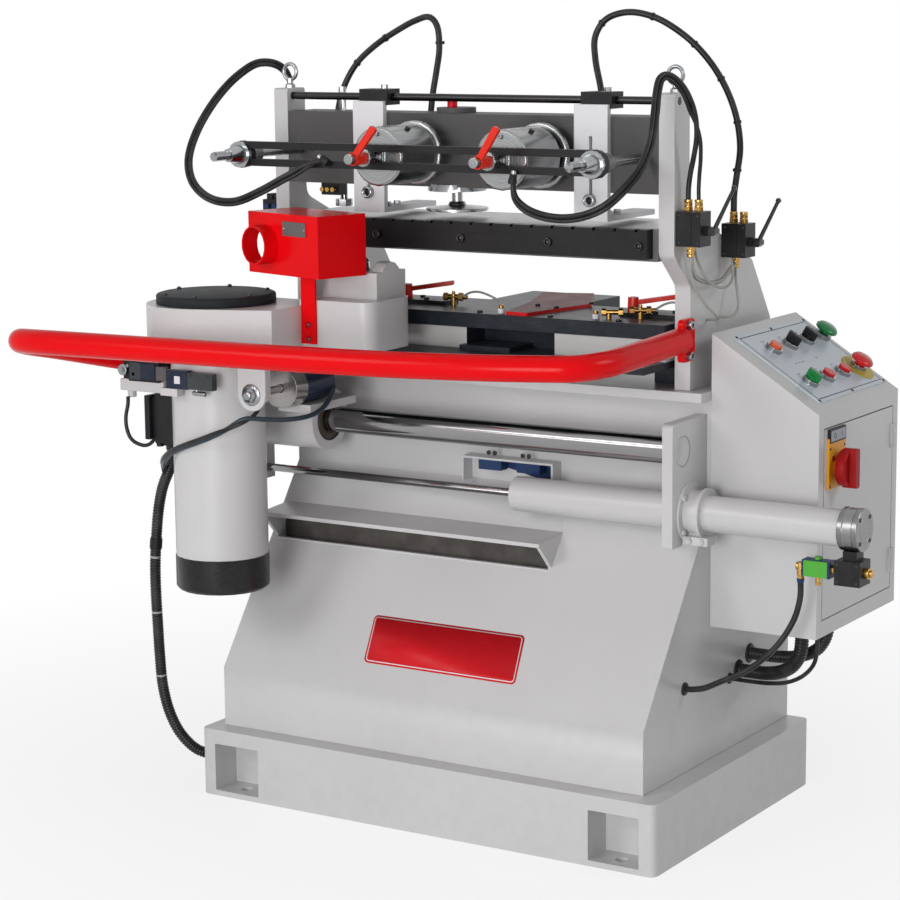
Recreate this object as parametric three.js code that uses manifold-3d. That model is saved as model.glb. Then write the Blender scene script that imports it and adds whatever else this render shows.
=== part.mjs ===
// Dovetailing machine: a floor-standing, template-guided single-spindle dovetailer.
// Millimetres, +X to the operator's right, +Y to the back, +Z up.
// The origin is on the floor, under the middle of the plinth.

import * as THREE from "three";
import { mergeVertices } from "three/addons/utils/BufferGeometryUtils.js";
import Module from "manifold-3d";

const wasm = await Module();
wasm.setup();

// Fits that every piece shares
const seat = 0.3; // gap between two pieces that touch
const runningFit = 0.6; // gap round a shaft or rod that slides or turns
const overrun = 4; // how far a cutting shape runs past the face that it opens
const facetShare = 0.56; // share of the full facet count that round bodies get

// Plinth
const plinthWidth = 900;
const plinthDepth = 589;
const plinthHeight = 120;
const plinthCorner = 14;
const plinthWall = 12;
const plinthTieWidth = 60; // flat tie across the middle of the underside
const pocketWidth = 92;
const pocketHeight = 84;
const pocketDepth = 62;
const pocketFloor = 10;
const pocketInset = 29; // from the side of the plinth to the pocket
const levellingHole = 22;

// Stand
const standWidth = 835;
const standShift = -7.5; // the stand sits a little left of the plinth's middle
const standToeInset = 36.5; // plinth front to the foot of the stand
const standBackInset = 4.5;
const standFaceSetback = 277.5; // plinth front to the upright face
const standToeHeight = 105;
const standSlopeHeight = 440; // above the plinth, where the slope meets the upright face
const standHeight = 626; // above the plinth
const standWall = 14;
const flangeThickness = 16;
const flangeReach = 43; // how far the top flange stands out from the upright face

// Chip shelf on the slope of the stand
const shelfHeight = 372; // above the plinth, at the back of the shelf
const shelfLength = 572;
const shelfReach = 82;
const shelfFall = 6;
const shelfThickness = 7;
const shelfLeftInset = 8;
const chipSlotHeight = 46;
const chipSlotDrop = 13; // shelf down to the top of the slot

// Sensor hanger on the upright face
const hangerLength = 182;
const hangerHeight = 44;
const hangerReach = 30;
const hangerSheet = 4;
const hangerRise = 43; // top of the slope up to the hanger's top
const hangerLeftInset = 367; // stand's left side to the hanger
const sensorWidth = 22;
const sensorHeight = 18;
const sensorLength = 46;

// Side posts
const postThickness = 28;
const postInset = 26; // stand side to the outer face of a post
const postShift = -4; // both posts together, from the middle of the stand
const postHeight = 486;
const postHeadReach = 83; // upper front edge, in front of the stand's upright face
const postFootReach = 24; // lower front edge
const postHeadDepth = 53;
const kneeLow = 172;
const kneeHigh = 226;
const headShoulder = 299;
const haunchTop = 196;
const haunchTopBack = 206;
const haunchLow = 91;
const haunchLowBack = 280;
const footBack = 302;

// Lifting eyes
const eyeRing = 13.5;
const eyeBar = 3;
const eyeShank = 5;
const eyeCollar = 9;
const eyeCollarHeight = 5;
const eyeShankHeight = 14;

// Clamp beam with its two studs and the hold-down cylinder
const beamDrop = 39; // post top down to the top of the beam
const beamHeight = 123;
const beamDepth = 80;
const beamFrontInset = 2;
const studRadius = 8;
const studLength = 250;
const studInset = 25; // inner face of a post to the stud
const studDrop = 104; // post top down to the stud
const holdDownRadius = 34;
const holdDownFlange = 50;
const holdDownFlangeThickness = 8;
const holdDownOffset = -44.5; // from the middle between the posts
const holdDownSetback = 42; // beam front to the axis of the cylinder
const holdDownTopHeight = 9;
const guideColumnRadius = 6.5;
const guideColumnInset = 86; // inner face of the left post to the guide column
const guideColumnRise = 41;
const guideColumnFoot = 15;
const guideColumnFootHeight = 12;

// Hold-down foot
const footDiscRadius = 53;
const footDiscThickness = 5;
const footDomeHeight = 9;
const footGap = 13; // table up to the foot, as it stands at rest
const footRodRadius = 9;
const footStroke = 12;

// Work table and comb
const tableHeight = 269; // above the stand
const tableThickness = 13;
const tableDepth = 176;
const crossBeamDepth = 44;
const crossBeamHeight = 40;
const combThickness = 22;
const combHeight = 48;
const combRightInset = 9;
const combLeftInset = 18;
const combToothCount = 18;
const combToothWidth = 5;
const combToothDepth = 4;
const combScrewRadius = 6;
const combScrewHeight = 3;
const combScrewCount = 5;

// Top rail and the two side stops that hang from it
const topRodRadius = 6.5;
const topRodDrop = 13; // post top down to the rod
const topRodSetback = 17; // post front to the rod
const stopWidth = 62;
const stopThickness = 11;
const stopBottomGap = 9; // table up to the lower end of a stop
const stopSlotWidth = 6;
const stopSlotTopDrop = 44;
const stopSlotLength = 99;
const stopBoltRadius = 10;
const stopBoltHeight = 5;
const stopBoltLift = 34; // above the lower end of the stop
const stopClampWidth = 57;
const stopClampHeight = 27;
const stopClampDepth = 40;
const stopClampShift = 6;
const stopClampOverlap = 7; // of the clamp over the board's back
const stopClampScrew = 6;
const stopClampScrewHeight = 7;
const stopFenceLength = 160;
const stopFenceWidth = 42;
const stopFenceHeight = 9;
const stopFenceBoltRadius = 6;
const leftStopInset = 143.5; // inner face of the left post to the left edge of the left stop
const rightStopInset = 88.5; // inner face of the right post to the right edge of the right stop

// Clamp rail on the studs
const railBar = 12;
const railBarPitch = 29;
const railGapToBeam = 162; // beam front to the back of the rail
const railDrop = 102.5; // post top down to the middle of the rail
const railBossRadius = 17;
const railCollarRadius = 16;
const railCollarLength = 32;
const railFlangeRadius = 22;
const railFlangeThickness = 7;
const railConeLength = 30;
const railConeTip = 11;

// Clamp cylinders, pads and ratchet levers
const drumRadius = 49;
const drumLength = 106;
const drumRimRadius = 46;
const drumBossRadius = 8.5;
const drumFrontGap = 5;
const leftDrumInset = 289; // inner face of the left post to the left drum's axis
const rightDrumInset = 202; // inner face of the right post to the right drum's axis
const padRadius = 54;
const padThickness = 11;
const padRodRadius = 12;
const padRodLength = 60;
const padRestOut = { left: 0, right: 12 }; // how far each pad stands out in the pose drawn
const leverHubRadius = 11;
const leverHubLength = 30;
const leverStandoff = 26; // rail front to the washer of a lever
const leverWasherRadius = 15;
const leverWasherThickness = 4;
const leverArmLength = 66;
const leverArmWidth = 10;
const leverArmThickness = 7;
const leverSpindleLength = 12;

// Feed slide: round shaft, its brackets, and the feed cylinder
const shaftRadius = 22.5;
const shaftReach = 87; // stand's upright face to the shaft's axis
const shaftDrop = 89; // stand top down to the shaft's axis
const bracketThickness = 19;
const bracketInset = 10; // stand's right side to the bracket's outer face
const bracketReach = 124;
const bracketTopDrop = 40;
const bracketHeight = 205;
const bracketHeel = 136; // height of the bracket where it touches the upright face
const bracketToe = 34;
const bracketCorner = 12;
const shaftCapRadius = 26;
const shaftCapDepth = 2;
const outriggerThickness = 18;
const outriggerGap = 55; // stand's left side to the outrigger plate
const outriggerRadius = 38;
const outriggerArmHeight = 46;
const outriggerArmDrop = 62; // shaft axis down to the top of the arm
const outriggerArmBack = 70;
const feedReach = 61; // upright face to the axis of the feed cylinder
const feedDrop = 193; // stand top down to the axis of the feed cylinder
const feedTubeRadius = 30;
const feedTubeBore = 24;
const feedTubeLeft = 338; // stand's right side to the open end of the tube
const feedTubeRight = 262; // stand's right side to the end cap
const feedCollarLength = 33;
const feedCollarRadius = 37;
const feedFlangeRadius = 42;
const feedFlangeThickness = 6;
const feedBoltDisc = 50;
const feedBoltRadius = 5;
const feedFootHeight = 14;
const feedFootWidth = 40;
const endCapRadius = 35;
const endCapLength = 35;
const endCapScrewCircle = 25;
const endCapScrewRadius = 4;
const endCapScrewCount = 4;
const pistonRodRadius = 7;
const pistonRadius = 22;
const pistonLength = 20;

// Speed control hung under the end cap
const controlStemRadius = 5;
const controlStemLength = 14;
const controlBlockWidth = 44;
const controlBlockDepth = 36;
const controlBlockHeight = 40;
const controlKnobRadius = 8;
const controlKnobLength = 18;
const controlNippleRadius = 6;
const controlNippleLength = 12;
const flowBlockWidth = 48;
const flowBlockDepth = 26;
const flowBlockHeight = 36;
const flowDrainRadius = 4;
const flowDrainLength = 18;
const elbowWidth = 13;
const elbowHeight = 32;

// Carriage on the round shaft
const sleeveRadius = 55;
const sleeveLength = 181;
const sleeveRightInset = 131; // stand's left side to the sleeve's right end
const sleeveRecessRadius = 32;
const sleeveRecessDepth = 14;
const saddleWidth = 136;
const saddleFrontReach = 46; // shaft axis forward to the front of the saddle
const saddleBackReach = 9;
const saddleTop = 121; // above the shaft axis
const saddleLipReach = 42; // shaft axis back to the edge of the roller lip
const saddleLipThickness = 16;
const rodArmWidth = 26;
const rodArmDepth = 40;
const crossArmWidth = 68;
const crossArmHeight = 14;
const crossArmDepth = 40;
const crossArmReach = 98;
const rollerRadius = 16;
const rollerHeight = 12;
const rollerPinRadius = 5;
const rollerPinInset = 68; // saddle's left side to the roller pin

// Cross cylinder that moves the head in and out
const crossCylinderRadius = 32;
const crossCylinderLength = 118;
const crossCylinderRise = 80; // above the shaft axis
const crossCylinderFlange = 35;
const crossCylinderFlangeLength = 34;
const crossCylinderOffset = 73; // saddle's right side to the cross cylinder
const crossCylinderFront = 186; // shaft axis forward to the front of the cross cylinder
const crossStroke = 50;
const crossRodRadius = 7;
const crossNutRadius = 11;
const crossNutLength = 9;

// Head: belt case, spindle block and cross slide rods
const motorAxisBack = 193; // shaft axis forward to the motor's axis
const motorAxisInset = 84; // saddle's left side to the motor's axis
const caseTop = 221; // above the shaft axis
const caseHeight = 78;
const caseRadius = 112;
const caseShift = 9; // middle of the round end, left of the motor's axis
const caseWall = 9;
const beltRoom = 5; // round the pulleys, inside the belt case
const caseRight = 158; // motor axis to the right end of the belt case
const caseFrontAtRight = 59; // motor axis forward to the front corner of the right end
const caseBackAtRight = 96;
const spindleOffsetX = 223; // motor axis to spindle axis
const spindleOffsetY = 107;
const blockWidth = 143;
const blockFrontReach = 77; // spindle axis forward to the front of the block
const blockDepth = 134;
const blockTopRise = 10; // spindle block above the belt case's top
const blockCorner = 30;
const blockDropBelowCase = 4;
const bearingWidth = 110;
const bearingDepth = 88;
const bearingHeight = 62;
const bearingEarRadius = 30;
const bearingEarThickness = 22;
const slideRodRadius = 10;
const slideRodSpacing = 90;
const slideRodRise = 103; // above the shaft axis
const slideRodBack = 9; // shaft axis back to the rear end of a slide rod
const yokeDepth = 24;
const yokeGap = 51; // saddle front to the yoke's back face, at rest
const lugWidth = 34;
const lugThickness = 24;

// Motor
const motorRadius = 80;
const motorWall = 7;
const motorLength = 356;
const motorCapRadius = 81;
const motorCapLength = 61;
const motorShaftRadius = 12;
const rotorRadius = 44;
const rotorLength = 150;
const motorPulleyRadius = 56;
const spindlePulleyRadius = 22.5;
const pulleyHeight = 34;
const beltThickness = 3;
const beltWidth = 26;
const fanRadius = 62;
const fanHeight = 12;
const terminalWidth = 56;
const terminalDepth = 50;
const terminalHeight = 86;
const terminalDrop = 86; // belt case bottom down to the top of the terminal box
const terminalChamfer = 8;
const terminalNeck = 26;

// Belt cover
const coverRadius = 102;
const coverThickness = 17;
const coverOpening = 62;

// Spindle and cutter
const spindleRadius = 15;
const spindleNoseRadius = 18;
const spindleNoseHeight = 22;
const cutterShankRadius = 6;
const cutterRadius = 9;
const cutterNeckRadius = 5;
const cutterLength = 46;

// Dust hood
const hoodFace = 190;
const hoodSide = 101;
const hoodHeight = 103;
const hoodSheet = 3;
const hoodTurnDeg = -17;
const hoodBottomRise = 52; // above the belt case's top
const hoodCornerX = -9; // spindle axis left to the front corner
const hoodCornerY = 134; // spindle axis forward to the front corner
const portRadius = 33;
const portLength = 28;
const portInset = 50; // left end of the hood's face to the port's axis
const strapWidth = 29;
const strapThickness = 5;
const strapBelowCaseTop = 64;
const strapScrewRadius = 5;
const strapScrewHeight = 3;
const plateWidth = 62;
const plateHeight = 24;
const plateInset = 31;
const plateThickness = 1.5;

// Limit switch on its arm
const switchArmLength = 112;
const switchArmDepth = 40;
const switchArmHeight = 20;
const switchArmDrop = 64; // belt case bottom down to the arm's top
const switchBodyLength = 66;
const switchBodyDepth = 26;
const switchBodyHeight = 34;
const switchHeadLength = 18;
const switchGlandRadius = 8;
const switchGlandHeight = 14;

// Template deck
const deckReach = 118; // upright face forward to the front of the lower template
const deckDepth = 240;
const deckRise = 35; // above the stand, to the underside of the lower template
const deckThickness = 12;
const deckSpacerWidth = 60;
const deckSpacerDepth = 70;
const packerHeight = 36;
const packerReach = 43;
const packerDepth = 170;
const leftPackerWidth = 330;
const rightPackerWidth = 208;
const deckSideInset = 8;
const nestBlockHeight = 30;
const nestBlockDepth = 60;
const templateThickness = 25;
const templateReach = 46;
const templateDepth = 190;
const bridgeWidth = 180;
const bridgeDepth = 150;
const wedgeThickness = 6;
const clampPlateLength = 92;
const clampPlateDepth = 46;
const clampPlateThickness = 7;
const templateLeverInset = 157; // inner face of the left post to the left lever
const templateLeverSetback = 51; // upright face back to both levers
const templateLeverRightInset = 117; // inner face of the right post to the right lever
const templateLeverHubRadius = 10;
const templateLeverHubHeight = 24;
const templateLeverArm = 84;
const templateLeverArmWidth = 9;
const templateLeverArmThickness = 8;
const wristBoltCount = 3;
const wristBoltRadius = 5;
const wristBoltHeight = 4;

// Control cabinet
const cabinetWidth = 192;
const cabinetDepth = 326;
const cabinetFrontSetback = 6; // the cabinet's front stands this far before the upright face
const cabinetBottom = 350; // above the floor
const cabinetHeight = 491;
const cabinetFall = 121; // how much lower the panel ends than it starts
const cabinetSheet = 5;
const doorMargin = 20;
const doorHeight = 318;
const doorBottomInset = 27;
const doorSheet = 4;
const doorReveal = 2;
const legendInsetTop = 21;
const legendInsetFront = 43;
const legendLength = 184;
const legendDepth = 271;
const legendThickness = 2;
const controlRowTop = 71;
const controlRowLow = 159;
const rowStart = 108; // cabinet front to the first control of the upper row
const controlPitch = 65;
const lowRowShift = -18;
const bezelRadius = 15;
const bezelHeight = 8;
const buttonRadius = 11;
const buttonHeight = 5;
const buttonTravel = 3;
const selectorLength = 26;
const selectorWidth = 9;
const selectorHeight = 14;
const mushroomRadius = 20;
const mushroomHeight = 9;
const mushroomStem = 9;
const mushroomStemHeight = 10;
const mushroomTravel = 5;
const estopCollarRadius = 27;
const estopCollarHeight = 2;
const switchPlateWidth = 66;
const switchPlateHeight = 84;
const switchPlateThickness = 4;
const switchPlateInset = 10; // door's front edge to the plate
const switchPlateDrop = 18; // door's top edge to the plate
const switchKnobRadius = 26;
const switchKnobBase = 12;
const switchKnobHeight = 30;
const switchKnobGrip = 16;
const hingePinRadius = 3;
const hingeKnuckle = 40;

// Hand valves on the right post
const valveWidth = 44;
const valveDepth = 38;
const valveHeight = 56;
const valveRise = 242; // stand top up to the bottom of the front valve
const rearValveFall = 32;
const rearValveSetback = 166;
const valveFrontInset = 4; // post front to the front valve
const fittingRadius = 6;
const fittingHeight = 16;
const valveNeckRadius = 8;
const valveNeckLength = 6;
const valveHubRadius = 8;
const valveHubLength = 16;
const valveLeverLength = 78;
const valveLeverRadius = 4;
const valveLeverLeanDeg = 27;
const airLinkRadius = 4;

// Guard bar
const guardRadius = 21;
const guardOverhang = 253; // stand's left side to the guard's left bend
const guardReach = 485; // upright face to the front of the guard
const guardRise = 75; // stand top up to the guard's front bar
const guardFlangeHeight = 70;
const guardFlangeDepth = 46;
const guardFlangeThickness = 9;
const guardFlangeRise = 52; // stand top up to the lower edge of the right flange
const guardFlangeReach = 71; // upright face forward to the front edge of the flange
const guardScrewRadius = 7;
const guardScrewHeight = 5;
const guardSides = 12;

// Hoses
const airHoseRadius = 5.5;
const conduitRadius = 10;
const conduitBore = 8;
const conduitRibCount = 50;
const feedHoseRadius = 5;
const cabinetConduitRadius = 12;
const conduitOut = 130; // stand's side to the conduit's gland
const conduitDrop = 100; // cabinet's underside down to where the conduit enters the stand

// Levels and faces worked out from the sizes above
const plinthFront = -plinthDepth / 2;
const standLeft = standShift - standWidth / 2;
const standRight = standShift + standWidth / 2;
const standFace = plinthFront + standFaceSetback;
const standToe = plinthFront + standToeInset;
const standBack = plinthDepth / 2 - standBackInset;
const standTop = plinthHeight + standHeight;
const slopeTop = plinthHeight + standSlopeHeight;
const toeTop = plinthHeight + standToeHeight;
const leftPostOuter = standLeft + postInset + postShift;
const leftPostInner = leftPostOuter + postThickness;
const rightPostOuter = standRight - postInset + postShift;
const rightPostInner = rightPostOuter - postThickness;
const postMiddle = (leftPostInner + rightPostInner) / 2;
const postFront = standFace - postHeadReach;
const postTop = standTop + postHeight;
const beamFront = postFront + beamFrontInset;
const beamTop = postTop - beamDrop;
const beamBottom = beamTop - beamHeight;
const tableTop = standTop + tableHeight;
const shaftY = standFace - shaftReach;
const shaftZ = standTop - shaftDrop;
const feedY = standFace - feedReach;
const feedZ = standTop - feedDrop;

// Basic solids. Each takes real sizes and returns a closed body for joining and cutting.

function solidOf(geometry) {
  geometry.deleteAttribute("normal");
  geometry.deleteAttribute("uv");
  const merged = mergeVertices(geometry);
  const corners = merged.index.array;
  const kept = [];
  for (let i = 0; i < corners.length; i += 3) {
    const [a, b, c] = [corners[i], corners[i + 1], corners[i + 2]];
    if (a !== b && b !== c && c !== a) kept.push(a, b, c);
  }
  const build = (triVerts) => {
    const vertProperties = new Float32Array(merged.attributes.position.array);
    return new wasm.Manifold(new wasm.Mesh({ numProp: 3, vertProperties, triVerts }));
  };
  const solid = build(new Uint32Array(kept));
  if (solid.volume() > 0) return solid;
  for (let i = 0; i < kept.length; i += 3) [kept[i], kept[i + 1]] = [kept[i + 1], kept[i]];
  return build(new Uint32Array(kept));
}

function join(first, ...others) {
  return others.reduce((whole, next) => whole.add(next), first);
}

function cut(first, ...others) {
  return others.reduce((whole, next) => whole.subtract(next), first);
}

// A box between two opposite corners.
function block(low, high) {
  const size = high.map((value, i) => value - low[i]);
  const geometry = new THREE.BoxGeometry(...size);
  geometry.translate(...low.map((value, i) => value + size[i] / 2));
  return solidOf(geometry);
}

const turnTo = {
  x: (geometry) => geometry.rotateZ(-Math.PI / 2),
  y: (geometry) => geometry,
  z: (geometry) => geometry.rotateX(Math.PI / 2),
};

function facets(sides) {
  return Math.max(6, 2 * Math.round((sides * facetShare) / 2));
}

// A round bar along an axis, from one place to another, round the point given.
function bar(axis, radius, from, to, centre, sides = 24, endRadius = radius) {
  const geometry = new THREE.CylinderGeometry(endRadius, radius, to - from, facets(sides));
  turnTo[axis](geometry);
  const middle = [...centre];
  middle["xyz".indexOf(axis)] = (from + to) / 2;
  geometry.translate(...middle);
  return solidOf(geometry);
}

// Radius of a faceted hole in which a bar of that radius turns freely.
function roundHole(radius, sides) {
  return (radius + seat) / Math.cos(Math.PI / facets(sides));
}

// A turned solid: profile is [radius, height] pairs that start and end on the axis.
function turned(axis, profile, centre, sides = 28) {
  const points = profile.map(([radius, height]) => new THREE.Vector2(radius, height));
  const geometry = new THREE.LatheGeometry(points, facets(sides));
  turnTo[axis](geometry);
  geometry.translate(...centre);
  return solidOf(geometry);
}

// Corner points of an outline, with each corner rounded where a radius is given.
function rounded(points, radius, arcSteps = 5) {
  const outline = [];
  points.forEach((corner, i) => {
    const before = points[(i + points.length - 1) % points.length];
    const after = points[(i + 1) % points.length];
    const r = Array.isArray(radius) ? radius[i] : radius;
    if (!r) {
      outline.push(corner);
      return;
    }
    const toBefore = new THREE.Vector2(before[0] - corner[0], before[1] - corner[1]);
    const toAfter = new THREE.Vector2(after[0] - corner[0], after[1] - corner[1]);
    const room = Math.min(toBefore.length(), toAfter.length()) / 2;
    toBefore.normalize();
    toAfter.normalize();
    const half = Math.acos(THREE.MathUtils.clamp(toBefore.dot(toAfter), -1, 1)) / 2;
    const reach = Math.min(r / Math.tan(half), room);
    for (let step = 0; step <= arcSteps; step++) {
      const t = step / arcSteps;
      const [p, q] = [1 - t, t];
      outline.push([
        corner[0] + toBefore.x * reach * p * p + toAfter.x * reach * q * q,
        corner[1] + toBefore.y * reach * p * p + toAfter.y * reach * q * q,
      ]);
    }
  });
  return outline;
}

const planes = {
  xy: [[1, 0, 0], [0, 1, 0], [0, 0, 1]],
  yz: [[0, 1, 0], [0, 0, 1], [1, 0, 0]],
  xz: [[1, 0, 0], [0, 0, 1], [0, -1, 0]],
};

// A flat plate: an outline drawn in a plane, thick between two places on the third axis.
function plate(plane, outline, from, to) {
  const shape = new THREE.Shape(outline.map(([a, b]) => new THREE.Vector2(a, b)));
  const geometry = new THREE.ExtrudeGeometry(shape, { depth: to - from, bevelEnabled: false });
  const [right, up, out] = planes[plane].map((axis) => new THREE.Vector3(...axis));
  geometry.applyMatrix4(new THREE.Matrix4().makeBasis(right, up, out));
  const start = plane === "xz" ? to : from;
  geometry.translate(...{ xy: [0, 0, start], yz: [start, 0, 0], xz: [0, start, 0] }[plane]);
  return solidOf(geometry);
}

function rectangle(left, bottom, right, top) {
  return [[left, bottom], [right, bottom], [right, top], [left, top]];
}

// A round tube of solid section along a smooth curve through the points.
function tube(points, radius, sides, steps) {
  const section = [];
  for (let i = 0; i < sides; i++) {
    const angle = (i / sides) * 2 * Math.PI;
    section.push(new THREE.Vector2(radius * Math.cos(angle), radius * Math.sin(angle)));
  }
  const path = new THREE.CatmullRomCurve3(points.map((p) => new THREE.Vector3(...p)), false, "centripetal");
  const settings = { steps, bevelEnabled: false, extrudePath: path };
  return solidOf(new THREE.ExtrudeGeometry(new THREE.Shape(section), settings));
}

// A corrugated hose: ribs stand out along an open bore, with plain ends one diameter long.
function corrugated(points, outer, wallBore, ribCount, sides = 8) {
  const path = new THREE.CatmullRomCurve3(points.map((p) => new THREE.Vector3(...p)), false, "centripetal");
  const length = path.getLength();
  const plain = (2 * outer) / length;
  const groove = outer - (outer - wallBore) / 2;
  const rows = [[0, groove]];
  for (let rib = 0; rib < ribCount; rib++) {
    const start = plain + ((1 - 2 * plain) * rib) / ribCount;
    const pitch = (1 - 2 * plain) / ribCount;
    rows.push([start + pitch / 4, groove], [start + (3 * pitch) / 4, outer]);
  }
  rows.push([1, groove]);
  const boreRows = Math.ceil(ribCount / 5);
  for (let row = boreRows; row >= 0; row--) rows.push([row / boreRows, wallBore * 0.75]);
  const frames = path.computeFrenetFrames(ribCount * 4, false);
  const positions = [];
  rows.forEach(([share, radius]) => {
    const centre = path.getPointAt(Math.min(share, 1));
    const frame = Math.round(share * ribCount * 4);
    for (let i = 0; i < sides; i++) {
      const angle = (i / sides) * 2 * Math.PI;
      const point = centre.clone();
      point.addScaledVector(frames.normals[frame], radius * Math.cos(angle));
      point.addScaledVector(frames.binormals[frame], radius * Math.sin(angle));
      positions.push(point.x, point.y, point.z);
    }
  });
  const index = [];
  rows.forEach((_, row) => {
    const next = (row + 1) % rows.length;
    for (let i = 0; i < sides; i++) {
      const j = (i + 1) % sides;
      const [a, b, c, d] = [row * sides + i, row * sides + j, next * sides + i, next * sides + j];
      index.push(a, b, c, b, d, c);
    }
  });
  const geometry = new THREE.BufferGeometry();
  geometry.setAttribute("position", new THREE.Float32BufferAttribute(positions, 3));
  geometry.setIndex(index);
  return solidOf(geometry);
}

// Finishes
const finish = (color, roughness, metalness) => ({ color, roughness, metalness });
const paint = finish(0xccc9c2, 0.45, 0);
const darkPaint = finish(0x66645f, 0.5, 0);
const darkSteel = finish(0x35322f, 0.45, 0.6);
const chrome = finish(0xc8ccd0, 0.2, 1);
const zinc = finish(0xb9bfc4, 0.35, 0.9);
const whitePlate = finish(0xe2e2e6, 0.5, 0);
const guardRed = finish(0xdd1411, 0.3, 0);
const leverRed = finish(0xd3301c, 0.4, 0);
const blackPlastic = finish(0x26262a, 0.5, 0);
const rubber = finish(0x1d1d20, 0.7, 0);
const blueBlack = finish(0x2c3440, 0.5, 0.2);
const templateBlue = finish(0x3a3e47, 0.55, 0.1);
const tableGrey = finish(0x8f8d86, 0.4, 0.4);
const signalGreen = finish(0x1f9a4a, 0.35, 0);
const signalRed = finish(0xc9161c, 0.35, 0);
const signalOrange = finish(0xd2521e, 0.4, 0);
const switchRed = finish(0xa31c22, 0.4, 0);

const machine = new THREE.Group();

function assembly(x, y, z, parent = machine) {
  const group = new THREE.Group();
  group.position.set(x, y, z);
  parent.add(group);
  return group;
}

function geometryOf(solid) {
  const { vertProperties, triVerts } = solid.getMesh();
  const geometry = new THREE.BufferGeometry();
  geometry.setAttribute("position", new THREE.BufferAttribute(new Float32Array(vertProperties), 3));
  geometry.setIndex(new THREE.BufferAttribute(new Uint32Array(triVerts), 1));
  return geometry;
}

// The same solid, turned and moved.
function placed(solid, matrix) {
  return solidOf(geometryOf(solid).applyMatrix4(matrix));
}

function piece(parent, name, solid, look) {
  const mesh = new THREE.Mesh(geometryOf(solid), new THREE.MeshStandardMaterial(look));
  mesh.name = name;
  parent.add(mesh);
  return mesh;
}

function buildPlinth() {
  const half = plinthWidth / 2;
  const outline = rounded(rectangle(-half, plinthFront, half, -plinthFront), plinthCorner, 4);
  const body = plate("xy", outline, 0, plinthHeight);
  const hollow = block(
    [-half + plinthWall, plinthFront + plinthWall, -overrun],
    [half - plinthWall, -plinthFront - plinthWall, plinthHeight - plinthWall],
  );
  const pockets = [];
  const housings = [];
  const holes = [];
  for (const side of [-1, 1]) {
    for (const end of [-1, 1]) {
      const outer = side * (half - pocketInset);
      const inner = outer - side * pocketWidth;
      const [left, right] = [Math.min(outer, inner), Math.max(outer, inner)];
      const face = end * plinthDepth / 2;
      const deep = face - end * pocketDepth;
      const [front, back] = [Math.min(face + end * overrun, deep), Math.max(face + end * overrun, deep)];
      const wall = plinthWall;
      pockets.push(block([left, front, pocketFloor], [right, back, pocketFloor + pocketHeight]));
      const [skinFront, skinBack] = [Math.min(face, deep - end * wall), Math.max(face, deep - end * wall)];
      housings.push(block([left - wall, skinFront, -overrun], [right + wall, skinBack, plinthHeight]));
      const middle = [(left + right) / 2, face - end * pocketDepth / 2, 0];
      holes.push(bar("z", levellingHole / 2, -overrun, pocketFloor + overrun, middle, 16));
    }
  }
  const tie = block([-plinthTieWidth / 2, plinthFront, 0], [plinthTieWidth / 2, -plinthFront, plinthWall]);
  return cut(body, cut(hollow, ...housings, tie), ...pockets, ...holes);
}

function standProfile(wall, bottom) {
  return [
    [standToe + wall, bottom],
    [standToe + wall, toeTop],
    [standFace + wall, slopeTop],
    [standFace + wall, standTop - flangeThickness - (wall ? 0 : -overrun)],
    [standBack - wall, standTop - flangeThickness - (wall ? 0 : -overrun)],
    [standBack - wall, bottom],
  ];
}

// How far forward the stand's slope is at a height above the floor.
function slopeAt(z) {
  return THREE.MathUtils.lerp(standToe, standFace, (z - toeTop) / (slopeTop - toeTop));
}

function buildStand() {
  const bottom = plinthHeight + seat;
  const shell = plate("yz", standProfile(0, bottom), standLeft, standRight);
  const inside = plate("yz", standProfile(standWall, bottom - overrun),
    standLeft + standWall, standRight - standWall);
  const flange = block([standLeft, standFace - flangeReach, standTop - flangeThickness],
    [standRight, standBack, standTop]);
  const shelfZ = plinthHeight + shelfHeight;
  const shelfLeft = standLeft + shelfLeftInset;
  const shelfRight = shelfLeft + shelfLength;
  const shelfRoot = slopeAt(shelfZ);
  const shelfLip = shelfRoot - shelfReach;
  const shelf = plate("yz", [
    [shelfRoot + standWall / 2, shelfZ],
    [shelfLip, shelfZ - shelfFall],
    [shelfLip, shelfZ - shelfFall - shelfThickness],
    [shelfRoot + standWall / 2, shelfZ - shelfThickness],
  ], shelfLeft, shelfRight);
  const slotTop = shelfZ - chipSlotDrop;
  const slotBottom = slotTop - chipSlotHeight;
  const slotFront = slopeAt(slotBottom);
  const slot = block([shelfLeft + shelfThickness, slotFront - overrun, slotBottom],
    [shelfRight - shelfThickness, shelfRoot + standWall + overrun, slotTop]);
  const gussets = [shelfLeft, shelfRight - shelfThickness].map((x) => plate("yz", [
    [shelfLip, shelfZ - shelfFall - shelfThickness / 2],
    [slotFront + standWall / 2, slotBottom],
    [shelfRoot + standWall / 2, shelfZ - shelfThickness / 2],
  ], x, x + shelfThickness));
  const top = slopeTop + hangerRise;
  const left = standLeft + hangerLeftInset;
  const front = standFace - hangerReach;
  const back = standFace + standWall / 2;
  const hanger = cut(
    block([left, front, top - hangerHeight], [left + hangerLength, back, top]),
    block([left + hangerSheet, front - overrun, top - hangerHeight - overrun],
      [left + hangerLength - hangerSheet, standFace, top - hangerSheet]),
  );
  const sensors = [0.3, 0.72].map((share) => {
    const x = left + hangerLength * share;
    return block([x - sensorLength / 2, front + hangerSheet, top - hangerSheet - sensorHeight],
      [x + sensorLength / 2, front + hangerSheet + sensorWidth, top - hangerSheet / 2]);
  });
  return join(cut(shell, inside, slot), flange, shelf, ...gussets, hanger, ...sensors);
}

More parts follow.
